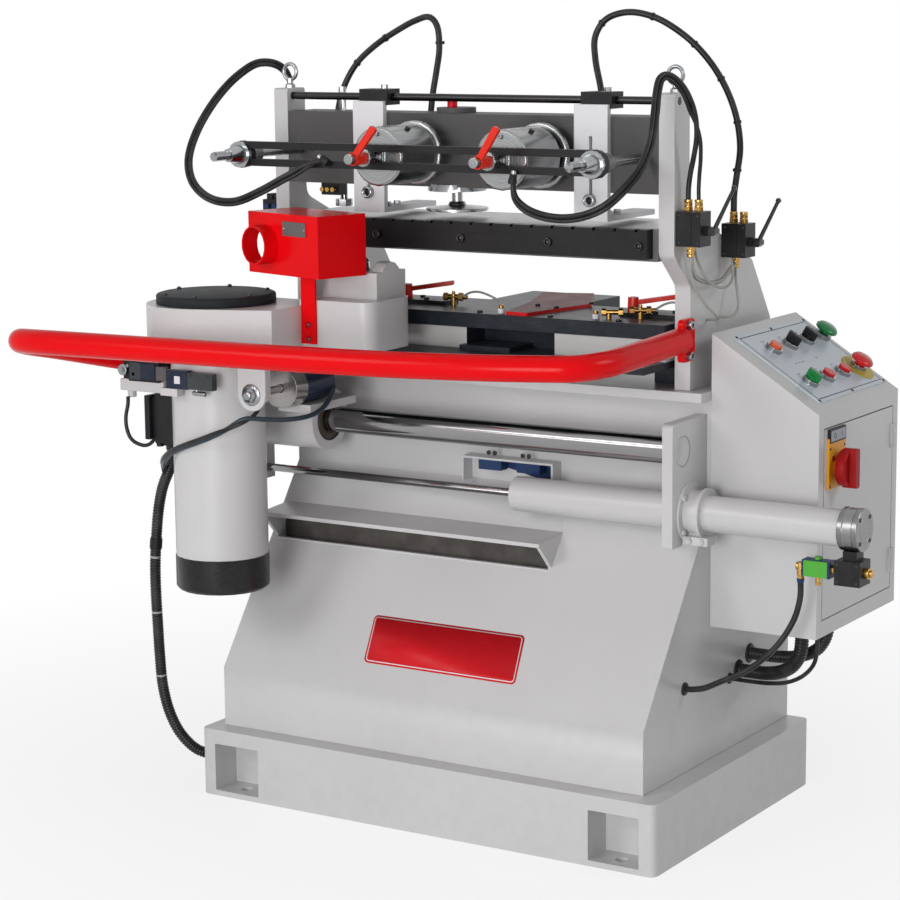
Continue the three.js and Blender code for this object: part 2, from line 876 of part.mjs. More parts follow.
function postProfile() {
  const foot = standTop + seat;
  return rounded([
    [standFace - postFootReach, foot],
    [standFace - postFootReach, standTop + kneeLow],
    [postFront, standTop + kneeHigh],
    [postFront, postTop],
    [postFront + postHeadDepth, postTop],
    [postFront + postHeadDepth, standTop + headShoulder],
    [standFace + haunchTopBack, standTop + haunchTop],
    [standFace + haunchLowBack, standTop + haunchLow],
    [standFace + footBack, foot],
  ], [0, 20, 20, 6, 6, 24, 18, 12, 0].map((share) => share * postCornerShare), 3);
}
const postCornerShare = postThickness / 28;

function buildPost(outer, inner) {
  const [left, right] = [Math.min(outer, inner), Math.max(outer, inner)];
  const body = plate("yz", postProfile(), left, right);
  const rodHole = bar("x", topRodRadius + seat, left - overrun, right + overrun, topRodCentre(), 20);
  const middle = (left + right) / 2;
  const eyeY = postFront + postHeadDepth / 2 + eyeBar;
  const ringZ = postTop + eyeShankHeight + eyeRing;
  const ring = new THREE.TorusGeometry(eyeRing, eyeBar, 6, facets(20));
  ring.translate(middle, 0, 0);
  ring.translate(0, eyeY, ringZ);
  const turn = new THREE.Matrix4().makeTranslation(middle, eyeY, ringZ)
    .multiply(new THREE.Matrix4().makeRotationX(Math.PI / 2))
    .multiply(new THREE.Matrix4().makeTranslation(-middle, -eyeY, -ringZ));
  ring.applyMatrix4(turn);
  const shank = turned("z", [
    [0, -eyeShank], [eyeCollar, -eyeShank], [eyeCollar, eyeCollarHeight],
    [eyeShank, eyeCollarHeight + eyeBar], [eyeShank, eyeShankHeight + eyeBar / 2], [0, eyeShankHeight + eyeBar / 2],
  ], [middle, eyeY, postTop], 16);
  return join(cut(body, rodHole), shank, solidOf(ring));
}

function topRodCentre() {
  return [0, postFront + topRodSetback, postTop - topRodDrop];
}

function studPlaces() {
  return [leftPostInner + studInset, rightPostInner - studInset];
}

function holdDownCentre() {
  return [postMiddle + holdDownOffset, beamFront + holdDownSetback, 0];
}

function buildBeam() {
  const left = leftPostInner + seat;
  const right = rightPostInner - seat;
  const beam = block([left, beamFront, beamBottom], [right, beamFront + beamDepth, beamTop]);
  const studs = studPlaces().map((x) => bar("y", studRadius, beamFront - studLength, beamFront + studRadius,
    [x, 0, postTop - studDrop], 16));
  const centre = holdDownCentre();
  const flange = bar("z", holdDownFlange, beamBottom - holdDownFlangeThickness, beamBottom + overrun, centre, 32);
  const barrel = bar("z", holdDownRadius, beamTop - overrun, beamTop + holdDownTopHeight, centre, 28);
  const columnX = leftPostInner + guideColumnInset;
  const column = turned("z", [
    [0, 0], [guideColumnFoot, 0], [guideColumnFoot, guideColumnFootHeight],
    [guideColumnRadius, guideColumnFootHeight],
    [guideColumnRadius, beamTop + guideColumnRise - tableTop - footGap],
    [0, beamTop + guideColumnRise - tableTop - footGap],
  ], [columnX, centre[1], tableTop + footGap], 16);
  const bore = bar("z", footRodRadius + runningFit, beamBottom - holdDownFlangeThickness - overrun,
    beamTop - holdDownTopHeight, centre, 20);
  return cut(join(beam, ...studs, flange, barrel, column), bore);
}

function buildHoldDownFoot() {
  const centre = holdDownCentre();
  const rodTop = beamTop - holdDownTopHeight - footStroke - tableTop - footGap;
  return turned("z", [
    [0, 0], [footDiscRadius, 0], [footDiscRadius, footDiscThickness],
    [footRodRadius * 1.8, footDomeHeight], [footRodRadius * 1.4, footDomeHeight * 1.7],
    [footRodRadius, footDomeHeight * 1.7], [footRodRadius, rodTop], [0, rodTop],
  ], [centre[0], centre[1], tableTop + footGap], 32);
}

function buildWorkTable() {
  const left = leftPostInner + seat;
  const right = rightPostInner - seat;
  const front = postFront - beamFrontInset;
  const deck = block([left, front, tableTop - tableThickness], [right, front + tableDepth, tableTop]);
  const beam = block([left, front, tableTop - tableThickness - crossBeamHeight],
    [right, front + crossBeamDepth, tableTop - tableThickness / 2]);
  return join(deck, beam);
}

function buildComb() {
  const back = postFront - beamFrontInset - seat;
  const front = back - combThickness;
  const left = leftPostInner + combLeftInset;
  const right = rightPostInner - combRightInset;
  const top = tableTop;
  const body = block([left, front, top - combHeight], [right, back, top]);
  const pitch = (right - left) / combToothCount;
  const notches = [];
  for (let i = 0; i < combToothCount; i++) {
    const x = left + pitch * (i + 0.5);
    notches.push(block([x - combToothWidth / 2, front - overrun, top - combToothDepth],
      [x + combToothWidth / 2, back - combThickness / 2, top + overrun]));
  }
  const screws = [];
  for (let i = 0; i < combScrewCount; i++) {
    const x = left + (right - left) * (0.02 + 0.96 * (i / (combScrewCount - 1)));
    screws.push(bar("y", combScrewRadius, front - combScrewHeight, front + combScrewHeight,
      [x, 0, top - combHeight * 0.55], 12));
  }
  return join(cut(body, ...notches), ...screws);
}

function buildTopRod() {
  return bar("x", topRodRadius, leftPostOuter, rightPostOuter, topRodCentre(), 20);
}

// A side stop: clamp block on the rod, slotted board, and the fence that lies over the table.
function buildStop(left) {
  const right = left + stopWidth;
  const middle = (left + right) / 2;
  const back = beamFront - seat;
  const front = back - stopThickness;
  const rod = topRodCentre();
  const bottom = tableTop + stopBottomGap;
  const clampBottom = rod[2] - stopClampHeight / 2;
  const clampTop = rod[2] + stopClampHeight / 2;
  const board = block([left, front, bottom], [right, back, clampBottom + stopClampOverlap]);
  const slotTop = clampBottom - stopSlotTopDrop;
  const slot = block([middle - stopSlotWidth / 2, front - overrun, slotTop - stopSlotLength],
    [middle + stopSlotWidth / 2, back + overrun, slotTop]);
  const clampMiddle = middle + stopClampShift;
  const clampFront = back - stopClampOverlap / 2;
  const clamp = cut(
    block([clampMiddle - stopClampWidth / 2, clampFront, clampBottom],
      [clampMiddle + stopClampWidth / 2, clampFront + stopClampDepth, clampTop]),
    bar("x", topRodRadius + seat, left - stopWidth, right + stopWidth, rod, 20),
  );
  const clampScrew = bar("z", stopClampScrew, clampTop - overrun, clampTop + stopClampScrewHeight,
    [clampMiddle + stopClampWidth / 5, rod[1], 0], 12);
  const bolt = bar("y", stopBoltRadius, front - stopBoltHeight, front + stopBoltHeight / 2,
    [middle, 0, bottom + stopBoltLift], 16);
  const fenceFront = back - stopThickness / 2;
  const fence = block([right - stopFenceWidth, fenceFront, bottom],
    [right, fenceFront + stopFenceLength, bottom + stopFenceHeight]);
  const fenceBolts = [0.2, 0.38].map((share) => bar("z", stopFenceBoltRadius, bottom + stopFenceHeight / 2,
    bottom + stopFenceHeight + stopFenceBoltRadius,
    [right - stopFenceWidth / 2, back + stopFenceLength * share, 0], 12));
  return join(cut(board, slot), clamp, clampScrew, bolt, fence, ...fenceBolts);
}

function buildRail() {
  const back = beamFront - railGapToBeam;
  const front = back - railBar;
  const z = postTop - railDrop;
  const [leftStud, rightStud] = studPlaces();
  const parts = [-1, 1].map((side) => {
    const middle = z + side * railBarPitch / 2;
    return block([leftStud, front, middle - railBar / 2], [rightStud, back, middle + railBar / 2]);
  });
  for (const x of [leftStud, rightStud]) {
    const centre = [x, 0, postTop - studDrop];
    parts.push(bar("y", railBossRadius + railBar / 2, front, back, centre, 24));
    parts.push(bar("y", railCollarRadius, back - railBar / 2, back + railCollarLength, centre, 20));
    parts.push(bar("y", railFlangeRadius, front - railFlangeThickness, front + railBar / 2, centre, 28));
    parts.push(bar("y", railConeTip, front - railFlangeThickness - railConeLength, front - railFlangeThickness / 2,
      centre, 24, railBossRadius));
  }
  const bores = [leftStud, rightStud].map((x) => bar("y", studRadius + seat, beamFront - studLength - railConeLength,
    beamFront, [x, 0, postTop - studDrop], 16));
  return cut(join(...parts), ...bores);
}

function drumAxis(x) {
  return [x, 0, postTop - railDrop];
}

// Clamp cylinder: body behind the rail, with a boss that passes between the two bars.
function buildDrum(x) {
  const railBack = beamFront - railGapToBeam;
  const front = railBack + drumFrontGap;
  const centre = drumAxis(x);
  const body = turned("y", [
    [0, 0], [drumRimRadius, 0], [drumRadius, drumLength * 0.03], [drumRadius, drumLength], [0, drumLength],
  ], [x, front, centre[2]], 36);
  const boss = bar("y", drumBossRadius, railBack - railBar - leverStandoff - leverHubLength - leverSpindleLength,
    front + overrun, centre, 26);
  const washer = bar("y", leverWasherRadius, railBack - railBar - leverStandoff,
    railBack - railBar - leverStandoff + leverWasherThickness, centre, 20);
  const spring = bar("y", leverHubRadius, railBack - railBar - leverStandoff, railBack - railBar - seat,
    centre, 16);
  const key = block([x - drumBossRadius * 1.7, railBack + seat, centre[2] - drumBossRadius],
    [x + drumBossRadius * 1.7, front + overrun, centre[2] + drumBossRadius]);
  const bore = bar("y", padRodRadius + runningFit, front + drumLength - padRodLength - runningFit,
    front + drumLength + overrun, centre, 20);
  return cut(join(body, boss, washer, spring, key), bore);
}

function buildPad(x, restOut) {
  const front = beamFront - railGapToBeam + drumFrontGap + drumLength + seat * 3 + restOut;
  return turned("y", [
    [0, -padRodLength + seat], [padRodRadius, -padRodLength + seat], [padRodRadius, 0],
    [padRadius * 0.94, 0], [padRadius, padThickness * 0.2], [padRadius, padThickness], [0, padThickness],
  ], [x, front, drumAxis(x)[2]], 36);
}

// Ratchet lever on the end of a drum's boss, in front of the rail.
function buildRatchetLever() {
  const hub = bar("y", leverHubRadius, -leverHubLength, 0, [0, 0, 0], 20);
  const arm = plate("xz", rounded([
    [-leverArmWidth / 2, 0], [leverArmWidth / 2, 0],
    [leverArmWidth * 0.6, leverArmLength], [-leverArmWidth * 0.6, leverArmLength],
  ], leverArmWidth / 3, 3), -leverHubLength, -leverHubLength + leverArmThickness);
  const bore = bar("y", drumBossRadius + runningFit, -leverHubLength - overrun, overrun, [0, 0, 0], 26);
  return cut(join(hub, arm), bore);
}

function buildShaftBracket() {
  const outer = standRight - bracketInset;
  const inner = outer - bracketThickness;
  const top = standTop - bracketTopDrop;
  const front = standFace - bracketReach;
  const heel = standFace - seat;
  const body = plate("yz", rounded([
    [front, top], [front, top - bracketHeight], [front + bracketToe, top - bracketHeight],
    [front + bracketReach * 0.66, top - bracketHeel], [heel, top - bracketHeel], [heel, top],
  ], [bracketCorner, bracketCorner / 3, bracketCorner / 3, bracketCorner, 0, 0], 4), inner, outer);
  const shaftHole = bar("x", shaftRadius + seat, inner - overrun, outer + overrun, [0, shaftY, shaftZ], 32);
  const capRecess = bar("x", shaftCapRadius, outer - shaftCapDepth, outer + overrun, [0, shaftY, shaftZ], 32);
  const feedHole = bar("x", feedTubeRadius + seat, inner - overrun, outer + overrun, [0, feedY, feedZ], 36);
  return cut(body, shaftHole, capRecess, feedHole);
}

// The round shaft, with the outrigger that holds its left end fixed on it.
function buildGuideShaft() {
  const plateRight = standLeft - outriggerGap;
  const plateLeft = plateRight - outriggerThickness;
  const right = standRight - bracketInset - shaftCapDepth;
  const shaft = bar("x", shaftRadius, plateLeft, right, [0, shaftY, shaftZ], 32);
  const armTop = shaftZ - outriggerArmDrop + outriggerArmHeight;
  const armBottom = armTop - outriggerArmHeight;
  const ring = bar("x", outriggerRadius, plateLeft, plateRight, [0, shaftY, shaftZ], 32);
  const web = plate("yz", [
    [shaftY - outriggerRadius * 0.7, shaftZ - outriggerRadius * 0.7],
    [shaftY + outriggerRadius * 0.2, shaftZ - outriggerRadius * 1.6],
    [standFace + outriggerArmBack, armBottom], [standFace + outriggerArmBack, armTop],
    [standFace, armTop], [shaftY + outriggerRadius * 0.9, shaftZ + outriggerRadius * 0.3],
  ], plateLeft, plateRight);
  const arm = block([plateRight - overrun, standFace + standWall / 2, armBottom],
    [standLeft - seat, standFace + outriggerArmBack, armTop]);
  return join(shaft, ring, web, arm);
}

function buildFeedCylinder() {
  const left = standRight - feedTubeLeft;
  const right = standRight + feedTubeRight;
  const plateFace = standRight - bracketInset + seat;
  const centre = [0, feedY, feedZ];
  const outside = bar("x", feedTubeRadius, left, right, centre, 36);
  const collarEnd = plateFace + feedCollarLength;
  const collar = bar("x", feedCollarRadius, plateFace, collarEnd, centre, 36);
  const ring = bar("x", feedFlangeRadius, collarEnd - feedFlangeThickness, collarEnd, centre, 36);
  const disc = bar("x", feedBoltDisc, plateFace, plateFace + feedFlangeThickness * 0.7, centre, 36);
  const bolts = [40, 140, 220, 320].map((deg) => bar("x", feedBoltRadius, plateFace,
    plateFace + feedFlangeThickness * 1.5, [0,
      feedY + (feedBoltDisc - feedBoltRadius * 1.2) * Math.cos(THREE.MathUtils.degToRad(deg)),
      feedZ + (feedBoltDisc - feedBoltRadius * 1.2) * Math.sin(THREE.MathUtils.degToRad(deg))], 10));
  const foot = block([plateFace, feedY - feedFootWidth / 2, feedZ - feedFlangeRadius - feedFootHeight / 3],
    [collarEnd, feedY + feedFootWidth / 2, feedZ - feedTubeRadius]);
  const bore = bar("x", feedTubeBore, left + feedTubeRadius / 3, right + overrun, centre, 28);
  const gland = bar("x", pistonRodRadius + runningFit, left - overrun, left + feedTubeRadius, centre, 20);
  const besideStand = block([plateFace - overrun, slopeAt(feedZ - feedBoltDisc) - seat, feedZ - feedBoltDisc * 2],
    [collarEnd + overrun, standBack, feedZ + feedBoltDisc * 2]);
  return cut(join(cut(join(disc, ...bolts), besideStand), outside, collar, ring, foot), bore, gland);
}

// End cap of the feed cylinder, with the speed control and flow valve hung under it.
function buildEndCap() {
  const left = standRight + feedTubeRight + seat;
  const right = left + endCapLength;
  const cap = bar("x", endCapRadius, left, right, [0, feedY, feedZ], 36);
  const screws = [];
  for (let i = 0; i < endCapScrewCount; i++) {
    const angle = ((i + 0.5) / endCapScrewCount) * 2 * Math.PI;
    const centre = [0, feedY + endCapScrewCircle * Math.cos(angle), feedZ + endCapScrewCircle * Math.sin(angle)];
    screws.push(bar("x", endCapScrewRadius, right - overrun, right + endCapScrewRadius / 2, centre, 12));
  }
  const middle = (left + right) / 2 - controlStemRadius * 0.6;
  const blockTop = feedZ - endCapRadius - controlStemLength;
  const stem = bar("z", controlStemRadius, blockTop - overrun, feedZ - endCapRadius / 2, [middle, feedY, 0], 14);
  const blockLeft = middle - controlBlockWidth / 2;
  const blockRight = blockLeft + controlBlockWidth;
  const blockMiddle = blockTop - controlBlockHeight / 2;
  const body = block([blockLeft, feedY - controlBlockDepth / 2, blockTop - controlBlockHeight],
    [blockRight, feedY + controlBlockDepth / 2, blockTop]);
  const knob = bar("x", controlKnobRadius, blockRight - overrun, blockRight + controlKnobLength,
    [0, feedY, blockMiddle], 14);
  const nipple = bar("x", controlNippleRadius, blockLeft - controlNippleLength - overrun, blockLeft + overrun,
    [0, feedY, blockMiddle], 14);
  const flowRight = blockLeft - controlNippleLength;
  const flowLeft = flowRight - flowBlockWidth;
  const flow = block([flowLeft, feedY - flowBlockDepth / 2, blockMiddle - flowBlockHeight / 2],
    [flowRight, feedY + flowBlockDepth / 2, blockMiddle + flowBlockHeight / 2]);
  const drain = bar("z", flowDrainRadius, blockMiddle - flowBlockHeight / 2 - flowDrainLength, blockMiddle,
    [(flowLeft + flowRight) / 2, feedY, 0], 12);
  const elbow = bar("z", elbowWidth / 2, blockMiddle - elbowHeight * 0.66, blockMiddle + elbowHeight * 0.34,
    [flowLeft - elbowWidth / 2, feedY, 0], 8);
  const elbowStub = bar("x", elbowWidth / 3, flowLeft - elbowWidth / 2, flowLeft + overrun,
    [0, feedY, blockMiddle], 8);
  return join(cap, ...screws, stem, body, knob, nipple, flow, drain, elbow, elbowStub);
}

const sleeveRight = standLeft + sleeveRightInset;
const sleeveLeft = sleeveRight - sleeveLength;
const saddleRight = sleeveLeft + saddleWidth;

function buildPistonRod() {
  const left = sleeveLeft + seat;
  const cylinderLeft = standRight - feedTubeLeft;
  const rodEnd = cylinderLeft + feedTubeRadius;
  const rod = bar("x", pistonRodRadius, left, rodEnd + pistonLength, [0, feedY, feedZ], 16);
  const piston = bar("x", pistonRadius, rodEnd, rodEnd + pistonLength, [0, feedY, feedZ], 24);
  return join(rod, piston);
}

// Carriage: sleeve on the shaft, saddle for the slide rods, arm for the piston rod. Its frame is the
// world frame, because everything that it carries is set out from the shaft.
function buildCarriage() {
  const centre = [0, shaftY, shaftZ];
  const sleeve = bar("x", sleeveRadius, sleeveLeft, sleeveRight, centre, 36);
  const saddleFront = shaftY - saddleFrontReach;
  const saddleBack = shaftY + saddleBackReach;
  const saddleZ = shaftZ + saddleTop;
  const saddle = block([sleeveLeft, saddleFront, shaftZ], [saddleRight, saddleBack, saddleZ]);
  const lip = block([sleeveLeft, saddleBack - overrun, saddleZ - saddleLipThickness],
    [saddleRight, shaftY + saddleLipReach, saddleZ]);
  const pinX = sleeveLeft + rollerPinInset;
  const pinZ = saddleZ - saddleLipThickness;
  const pinLength = pinZ - rollerTop() + rollerHeight + seat * 2;
  const pin = bar("z", rollerPinRadius, pinZ - pinLength, pinZ + saddleLipThickness / 2,
    [pinX, rollerAxisY(), 0], 14);
  const armTop = shaftZ;
  const armBottom = feedZ - rodArmDepth / 2;
  const arm = block([sleeveLeft, feedY - rodArmDepth / 2, armBottom],
    [sleeveLeft + rodArmWidth, feedY + rodArmDepth / 2, armTop]);
  const rodHole = bar("x", pistonRodRadius + seat, sleeveLeft - overrun, sleeveLeft + rodArmWidth + overrun,
    [0, feedY, feedZ], 20);
  const shaftHole = bar("x", shaftRadius + runningFit, sleeveLeft - overrun, sleeveRight + overrun, centre, 36);
  const recess = bar("x", sleeveRecessRadius, sleeveRight - sleeveRecessDepth, sleeveRight + overrun, centre, 32);
  const rods = slideRodPlaces().map((x) => bar("y", slideRodRadius + runningFit, saddleFront - overrun,
    shaftY + saddleLipReach + overrun, [x, 0, shaftZ + slideRodRise], 20));
  const crossZ = shaftZ + crossCylinderRise - crossCylinderRadius - crossArmHeight - seat;
  const crossRight = saddleRight + crossCylinderOffset + crossCylinderRadius;
  const crossArm = join(
    block([saddleRight - overrun, saddleFront, crossZ],
      [crossRight, saddleFront + crossArmDepth, crossZ + crossArmHeight]),
    block([crossRight - crossArmWidth, saddleFront - crossArmReach, crossZ],
      [crossRight, saddleFront + overrun, crossZ + crossArmHeight]),
  );
  return cut(join(sleeve, saddle, lip, pin, arm, crossArm), shaftHole, recess, rodHole, ...rods);
}

function rollerAxisY() {
  return standFace - flangeReach - seat - rollerRadius;
}

function rollerTop() {
  return standTop - (flangeThickness - rollerHeight) / 2;
}

function buildRoller() {
  const top = rollerTop();
  return cut(
    bar("z", rollerRadius, top - rollerHeight, top, [sleeveLeft + rollerPinInset, rollerAxisY(), 0], 24),
    bar("z", roundHole(rollerPinRadius, 14), top - rollerHeight - overrun, top + overrun,
      [sleeveLeft + rollerPinInset, rollerAxisY(), 0], 14),
  );
}

function slideRodPlaces() {
  const middle = sleeveLeft + saddleWidth / 2;
  return [middle - slideRodSpacing / 2, middle + slideRodSpacing / 2];
}

function crossAxis() {
  return [saddleRight + crossCylinderOffset, 0, shaftZ + crossCylinderRise];
}

function buildCrossCylinder() {
  const centre = crossAxis();
  const front = shaftY - crossCylinderFront;
  const barrel = bar("y", crossCylinderRadius, front, front + crossCylinderLength, centre, 32);
  const flange = bar("y", crossCylinderFlange, front, front + crossCylinderFlangeLength, centre, 32);
  const trim = block([centre[0] - crossCylinderFlange * 2, front - overrun, centre[2] - crossCylinderFlange * 2],
    [centre[0] + crossCylinderFlange * 2, front + crossCylinderLength + overrun, centre[2] - crossCylinderRadius]);
  const bore = bar("y", crossRodRadius + runningFit, front - overrun, front + crossCylinderLength - overrun,
    centre, 16);
  return cut(join(barrel, flange), trim, bore);
}

// Head, worked out from the motor's axis
const motorX = sleeveLeft + motorAxisInset;
const motorY = shaftY - motorAxisBack;
const spindleX = motorX + spindleOffsetX;
const spindleY = motorY + spindleOffsetY;
const caseTopZ = shaftZ + caseTop;
const caseBottomZ = caseTopZ - caseHeight;

// Plan outline of the belt case: round over the motor, tapering to its right end.
function caseOutline(inset) {
  const points = [];
  const radius = caseRadius - inset;
  const [fromDeg, toDeg] = [70, 285];
  for (let i = 0; i <= 16; i++) {
    const angle = THREE.MathUtils.degToRad(fromDeg + ((toDeg - fromDeg) * i) / 16);
    points.push([motorX - caseShift + radius * Math.cos(angle), motorY + radius * Math.sin(angle)]);
  }
  points.push([motorX + caseRight - inset, motorY - caseFrontAtRight + inset]);
  points.push([motorX + caseRight - inset, motorY + caseBackAtRight - inset]);
  return points;
}

function buildHead() {
  const beltCase = plate("xy", caseOutline(0), caseBottomZ, caseTopZ);
  const blockLeft = spindleX - blockWidth / 2;
  const blockFront = spindleY - blockFrontReach;
  const blockOutline = rounded(rectangle(blockLeft, blockFront, blockLeft + blockWidth, blockFront + blockDepth),
    [0, blockCorner, blockCorner, 0], 4);
  const blockTop = caseTopZ + blockTopRise;
  const spindleBlock = plate("xy", blockOutline, caseBottomZ + blockDropBelowCase, blockTop);
  const bearingLeft = spindleX - bearingWidth / 2;
  const bearingBack = blockFront + blockDepth - seat;
  const bearing = block([bearingLeft, bearingBack - bearingDepth, blockTop - overrun],
    [bearingLeft + bearingWidth, bearingBack, blockTop + bearingHeight * 0.72]);
  const earRight = bearingLeft + bearingWidth;
  const earMiddle = bearingBack - bearingDepth / 2;
  const earBlock = block([earRight - bearingEarThickness, earMiddle - bearingEarRadius, blockTop - overrun],
    [earRight, earMiddle + bearingEarRadius, blockTop + bearingHeight * 0.5]);
  const ear = bar("x", bearingEarRadius, earRight - bearingEarThickness, earRight,
    [0, earMiddle, blockTop + bearingHeight * 0.5], 24);
  const inside = join(
    bar("z", motorPulleyRadius + beltRoom, caseBottomZ + caseWall, caseTopZ - caseWall, [motorX, motorY, 0], 32),
    bar("z", spindlePulleyRadius + beltRoom, caseBottomZ + caseWall, caseTopZ - caseWall,
      [spindleX, spindleY, 0], 24),
    plate("xy", beltHull(motorPulleyRadius + beltRoom, spindlePulleyRadius + beltRoom),
      caseBottomZ + caseWall, caseTopZ - caseWall),
  );
  const opening = bar("z", coverOpening, caseTopZ - caseWall - overrun, caseTopZ + overrun,
    [motorX - caseShift, motorY, 0], 36);
  const shaftHole = bar("z", motorShaftRadius + runningFit, caseBottomZ - overrun, caseTopZ - caseWall - overrun,
    [motorX, motorY, 0], 20);
  const spindleHole = bar("z", spindleRadius + runningFit, caseBottomZ + caseWall + overrun,
    blockTop + bearingHeight + overrun, [spindleX, spindleY, 0], 24);
  const saddleFront = shaftY - saddleFrontReach;
  const yokeBack = saddleFront - yokeGap - seat;
  const rodZ = shaftZ + slideRodRise;
  const yoke = block([sleeveLeft, yokeBack - yokeDepth, rodZ - slideRodRadius * 2],
    [saddleRight, yokeBack, caseBottomZ + overrun]);
  const motorRoom = bar("z", motorRadius + seat * 2, rodZ - slideRodRadius * 3, caseBottomZ, [motorX, motorY, 0], 40);
  const rods = slideRodPlaces().map((x) => bar("y", slideRodRadius, yokeBack - overrun / 2, shaftY + slideRodBack,
    [x, 0, rodZ], 20));
  const axis = crossAxis();
  const lugBack = shaftY - crossCylinderFront - crossStroke - seat * 4;
  const lugOutline = rounded([
    [axis[0] - lugWidth / 2, axis[2] - lugWidth / 2], [axis[0] + lugWidth / 2, axis[2] - lugWidth / 2],
    [axis[0] + lugWidth / 2, caseBottomZ + overrun], [axis[0] - lugWidth / 2, caseBottomZ + overrun],
  ], [lugWidth / 2, lugWidth / 2, 0, 0], 6);
  const lug = plate("xz", lugOutline, lugBack - lugThickness, lugBack);
  const crossRod = bar("y", crossRodRadius, lugBack - lugThickness - crossNutLength * 1.6,
    shaftY - crossCylinderFront + crossRodRadius * 2, axis, 16);
  const nut = bar("y", crossNutRadius, lugBack - lugThickness - crossNutLength, lugBack - lugThickness + seat * 3,
    axis, 6);
  const casting = cut(join(beltCase, spindleBlock, bearing, earBlock, ear), inside, opening, shaftHole, spindleHole);
  return join(casting, cut(yoke, motorRoom), ...rods, lug, crossRod, nut);
}

// Plan outline of the straight run between two circles over the motor and the spindle.
function beltHull(motorSide, spindleSide) {
  const span = Math.hypot(spindleOffsetX, spindleOffsetY);
  const heading = Math.atan2(spindleOffsetY, spindleOffsetX);
  const open = Math.acos((motorSide - spindleSide) / span);
  const at = (x, y, radius, angle) => [x + radius * Math.cos(angle), y + radius * Math.sin(angle)];
  return [
    at(motorX, motorY, motorSide, heading - open),
    at(spindleX, spindleY, spindleSide, heading - open),
    at(spindleX, spindleY, spindleSide, heading + open),
    at(motorX, motorY, motorSide, heading + open),
  ];
}

function buildBelt() {
  const low = caseBottomZ + caseWall + (caseHeight - 2 * caseWall - beltWidth) / 2;
  const loop = (grow) => join(
    bar("z", motorPulleyRadius + grow, low, low + beltWidth, [motorX, motorY, 0], 36),
    bar("z", spindlePulleyRadius + grow, low, low + beltWidth, [spindleX, spindleY, 0], 28),
    plate("xy", beltHull(motorPulleyRadius + grow, spindlePulleyRadius + grow), low, low + beltWidth),
  );
  const outer = loop(beltThickness);
  const inner = join(
    bar("z", roundHole(motorPulleyRadius, 36), low - overrun, low + beltWidth + overrun, [motorX, motorY, 0], 36),
    bar("z", roundHole(spindlePulleyRadius, 28), low - overrun, low + beltWidth + overrun,
      [spindleX, spindleY, 0], 28),
    plate("xy", beltHull(motorPulleyRadius + seat, spindlePulleyRadius + seat), low - overrun,
      low + beltWidth + overrun),
  );
  return cut(outer, inner);
}

function buildMotorCase() {
  const top = caseBottomZ - seat;
  const bottom = top - motorLength;
  const capBottom = bottom - motorCapLength;
  const body = bar("z", motorRadius, bottom, top, [motorX, motorY, 0], 40);
  const cap = turned("z", [
    [0, 0], [motorCapRadius * 0.93, 0], [motorCapRadius, motorCapLength * 0.09],
    [motorCapRadius, motorCapLength], [0, motorCapLength],
  ], [motorX, motorY, capBottom], 40);
  const inside = turned("z", [
    [0, -motorWall], [fanRadius + motorWall, -motorWall], [fanRadius + motorWall, motorCapLength],
    [rotorRadius + motorWall / 2, motorCapLength + motorWall * 2],
    [rotorRadius + motorWall / 2, motorCapLength + motorLength - motorWall * 2],
    [motorShaftRadius + runningFit, motorCapLength + motorLength - motorWall],
    [motorShaftRadius + runningFit, motorCapLength + motorLength + overrun],
    [0, motorCapLength + motorLength + overrun],
  ], [motorX, motorY, capBottom], 32);
  const boxTop = caseBottomZ - terminalDrop;
  const boxRight = motorX - motorRadius * 0.92;
  const boxLeft = boxRight - terminalWidth;
  const boxFront = motorY - terminalDepth * 0.4;
  const terminal = plate("xz", [
    [boxRight, boxTop], [boxLeft + terminalChamfer, boxTop], [boxLeft, boxTop - terminalChamfer],
    [boxLeft, boxTop - terminalHeight + terminalChamfer], [boxLeft + terminalChamfer, boxTop - terminalHeight],
    [boxRight, boxTop - terminalHeight],
  ], boxFront, boxFront + terminalDepth);
  const neck = bar("z", terminalNeck / 2, boxTop - terminalHeight - terminalNeck / 2,
    boxTop - terminalHeight + overrun, conduitTop(), 14);
  const web = block([boxRight - overrun, motorY - terminalDepth * 0.3, boxTop - terminalHeight],
    [motorX - motorRadius * 0.8, motorY + terminalDepth * 0.3, boxTop]);
  return join(cut(join(body, cap, web), inside), terminal, neck);
}

function conduitTop() {
  const boxRight = motorX - motorRadius * 0.92;
  return [boxRight - terminalWidth / 2, motorY, 0];
}

function buildRotor() {
  const capBottom = caseBottomZ - seat - motorLength - motorCapLength;
  const rotorLow = motorCapLength + (motorLength - rotorLength) / 2;
  const fanLow = motorCapLength * 0.45;
  const pulleyLow = motorCapLength + motorLength + seat + caseWall + (caseHeight - 2 * caseWall - pulleyHeight) / 2;
  return turned("z", [
    [0, fanLow - fanHeight], [motorShaftRadius, fanLow - fanHeight], [motorShaftRadius, fanLow],
    [fanRadius, fanLow], [fanRadius, fanLow + fanHeight], [motorShaftRadius, fanLow + fanHeight],
    [motorShaftRadius, rotorLow], [rotorRadius, rotorLow], [rotorRadius, rotorLow + rotorLength],
    [motorShaftRadius, rotorLow + rotorLength], [motorShaftRadius, pulleyLow],
    [motorPulleyRadius, pulleyLow], [motorPulleyRadius, pulleyLow + pulleyHeight],
    [motorShaftRadius, pulleyLow + pulleyHeight], [motorShaftRadius, pulleyLow + pulleyHeight * 1.1],
    [0, pulleyLow + pulleyHeight * 1.1],
  ], [motorX, motorY, capBottom], 36);
}

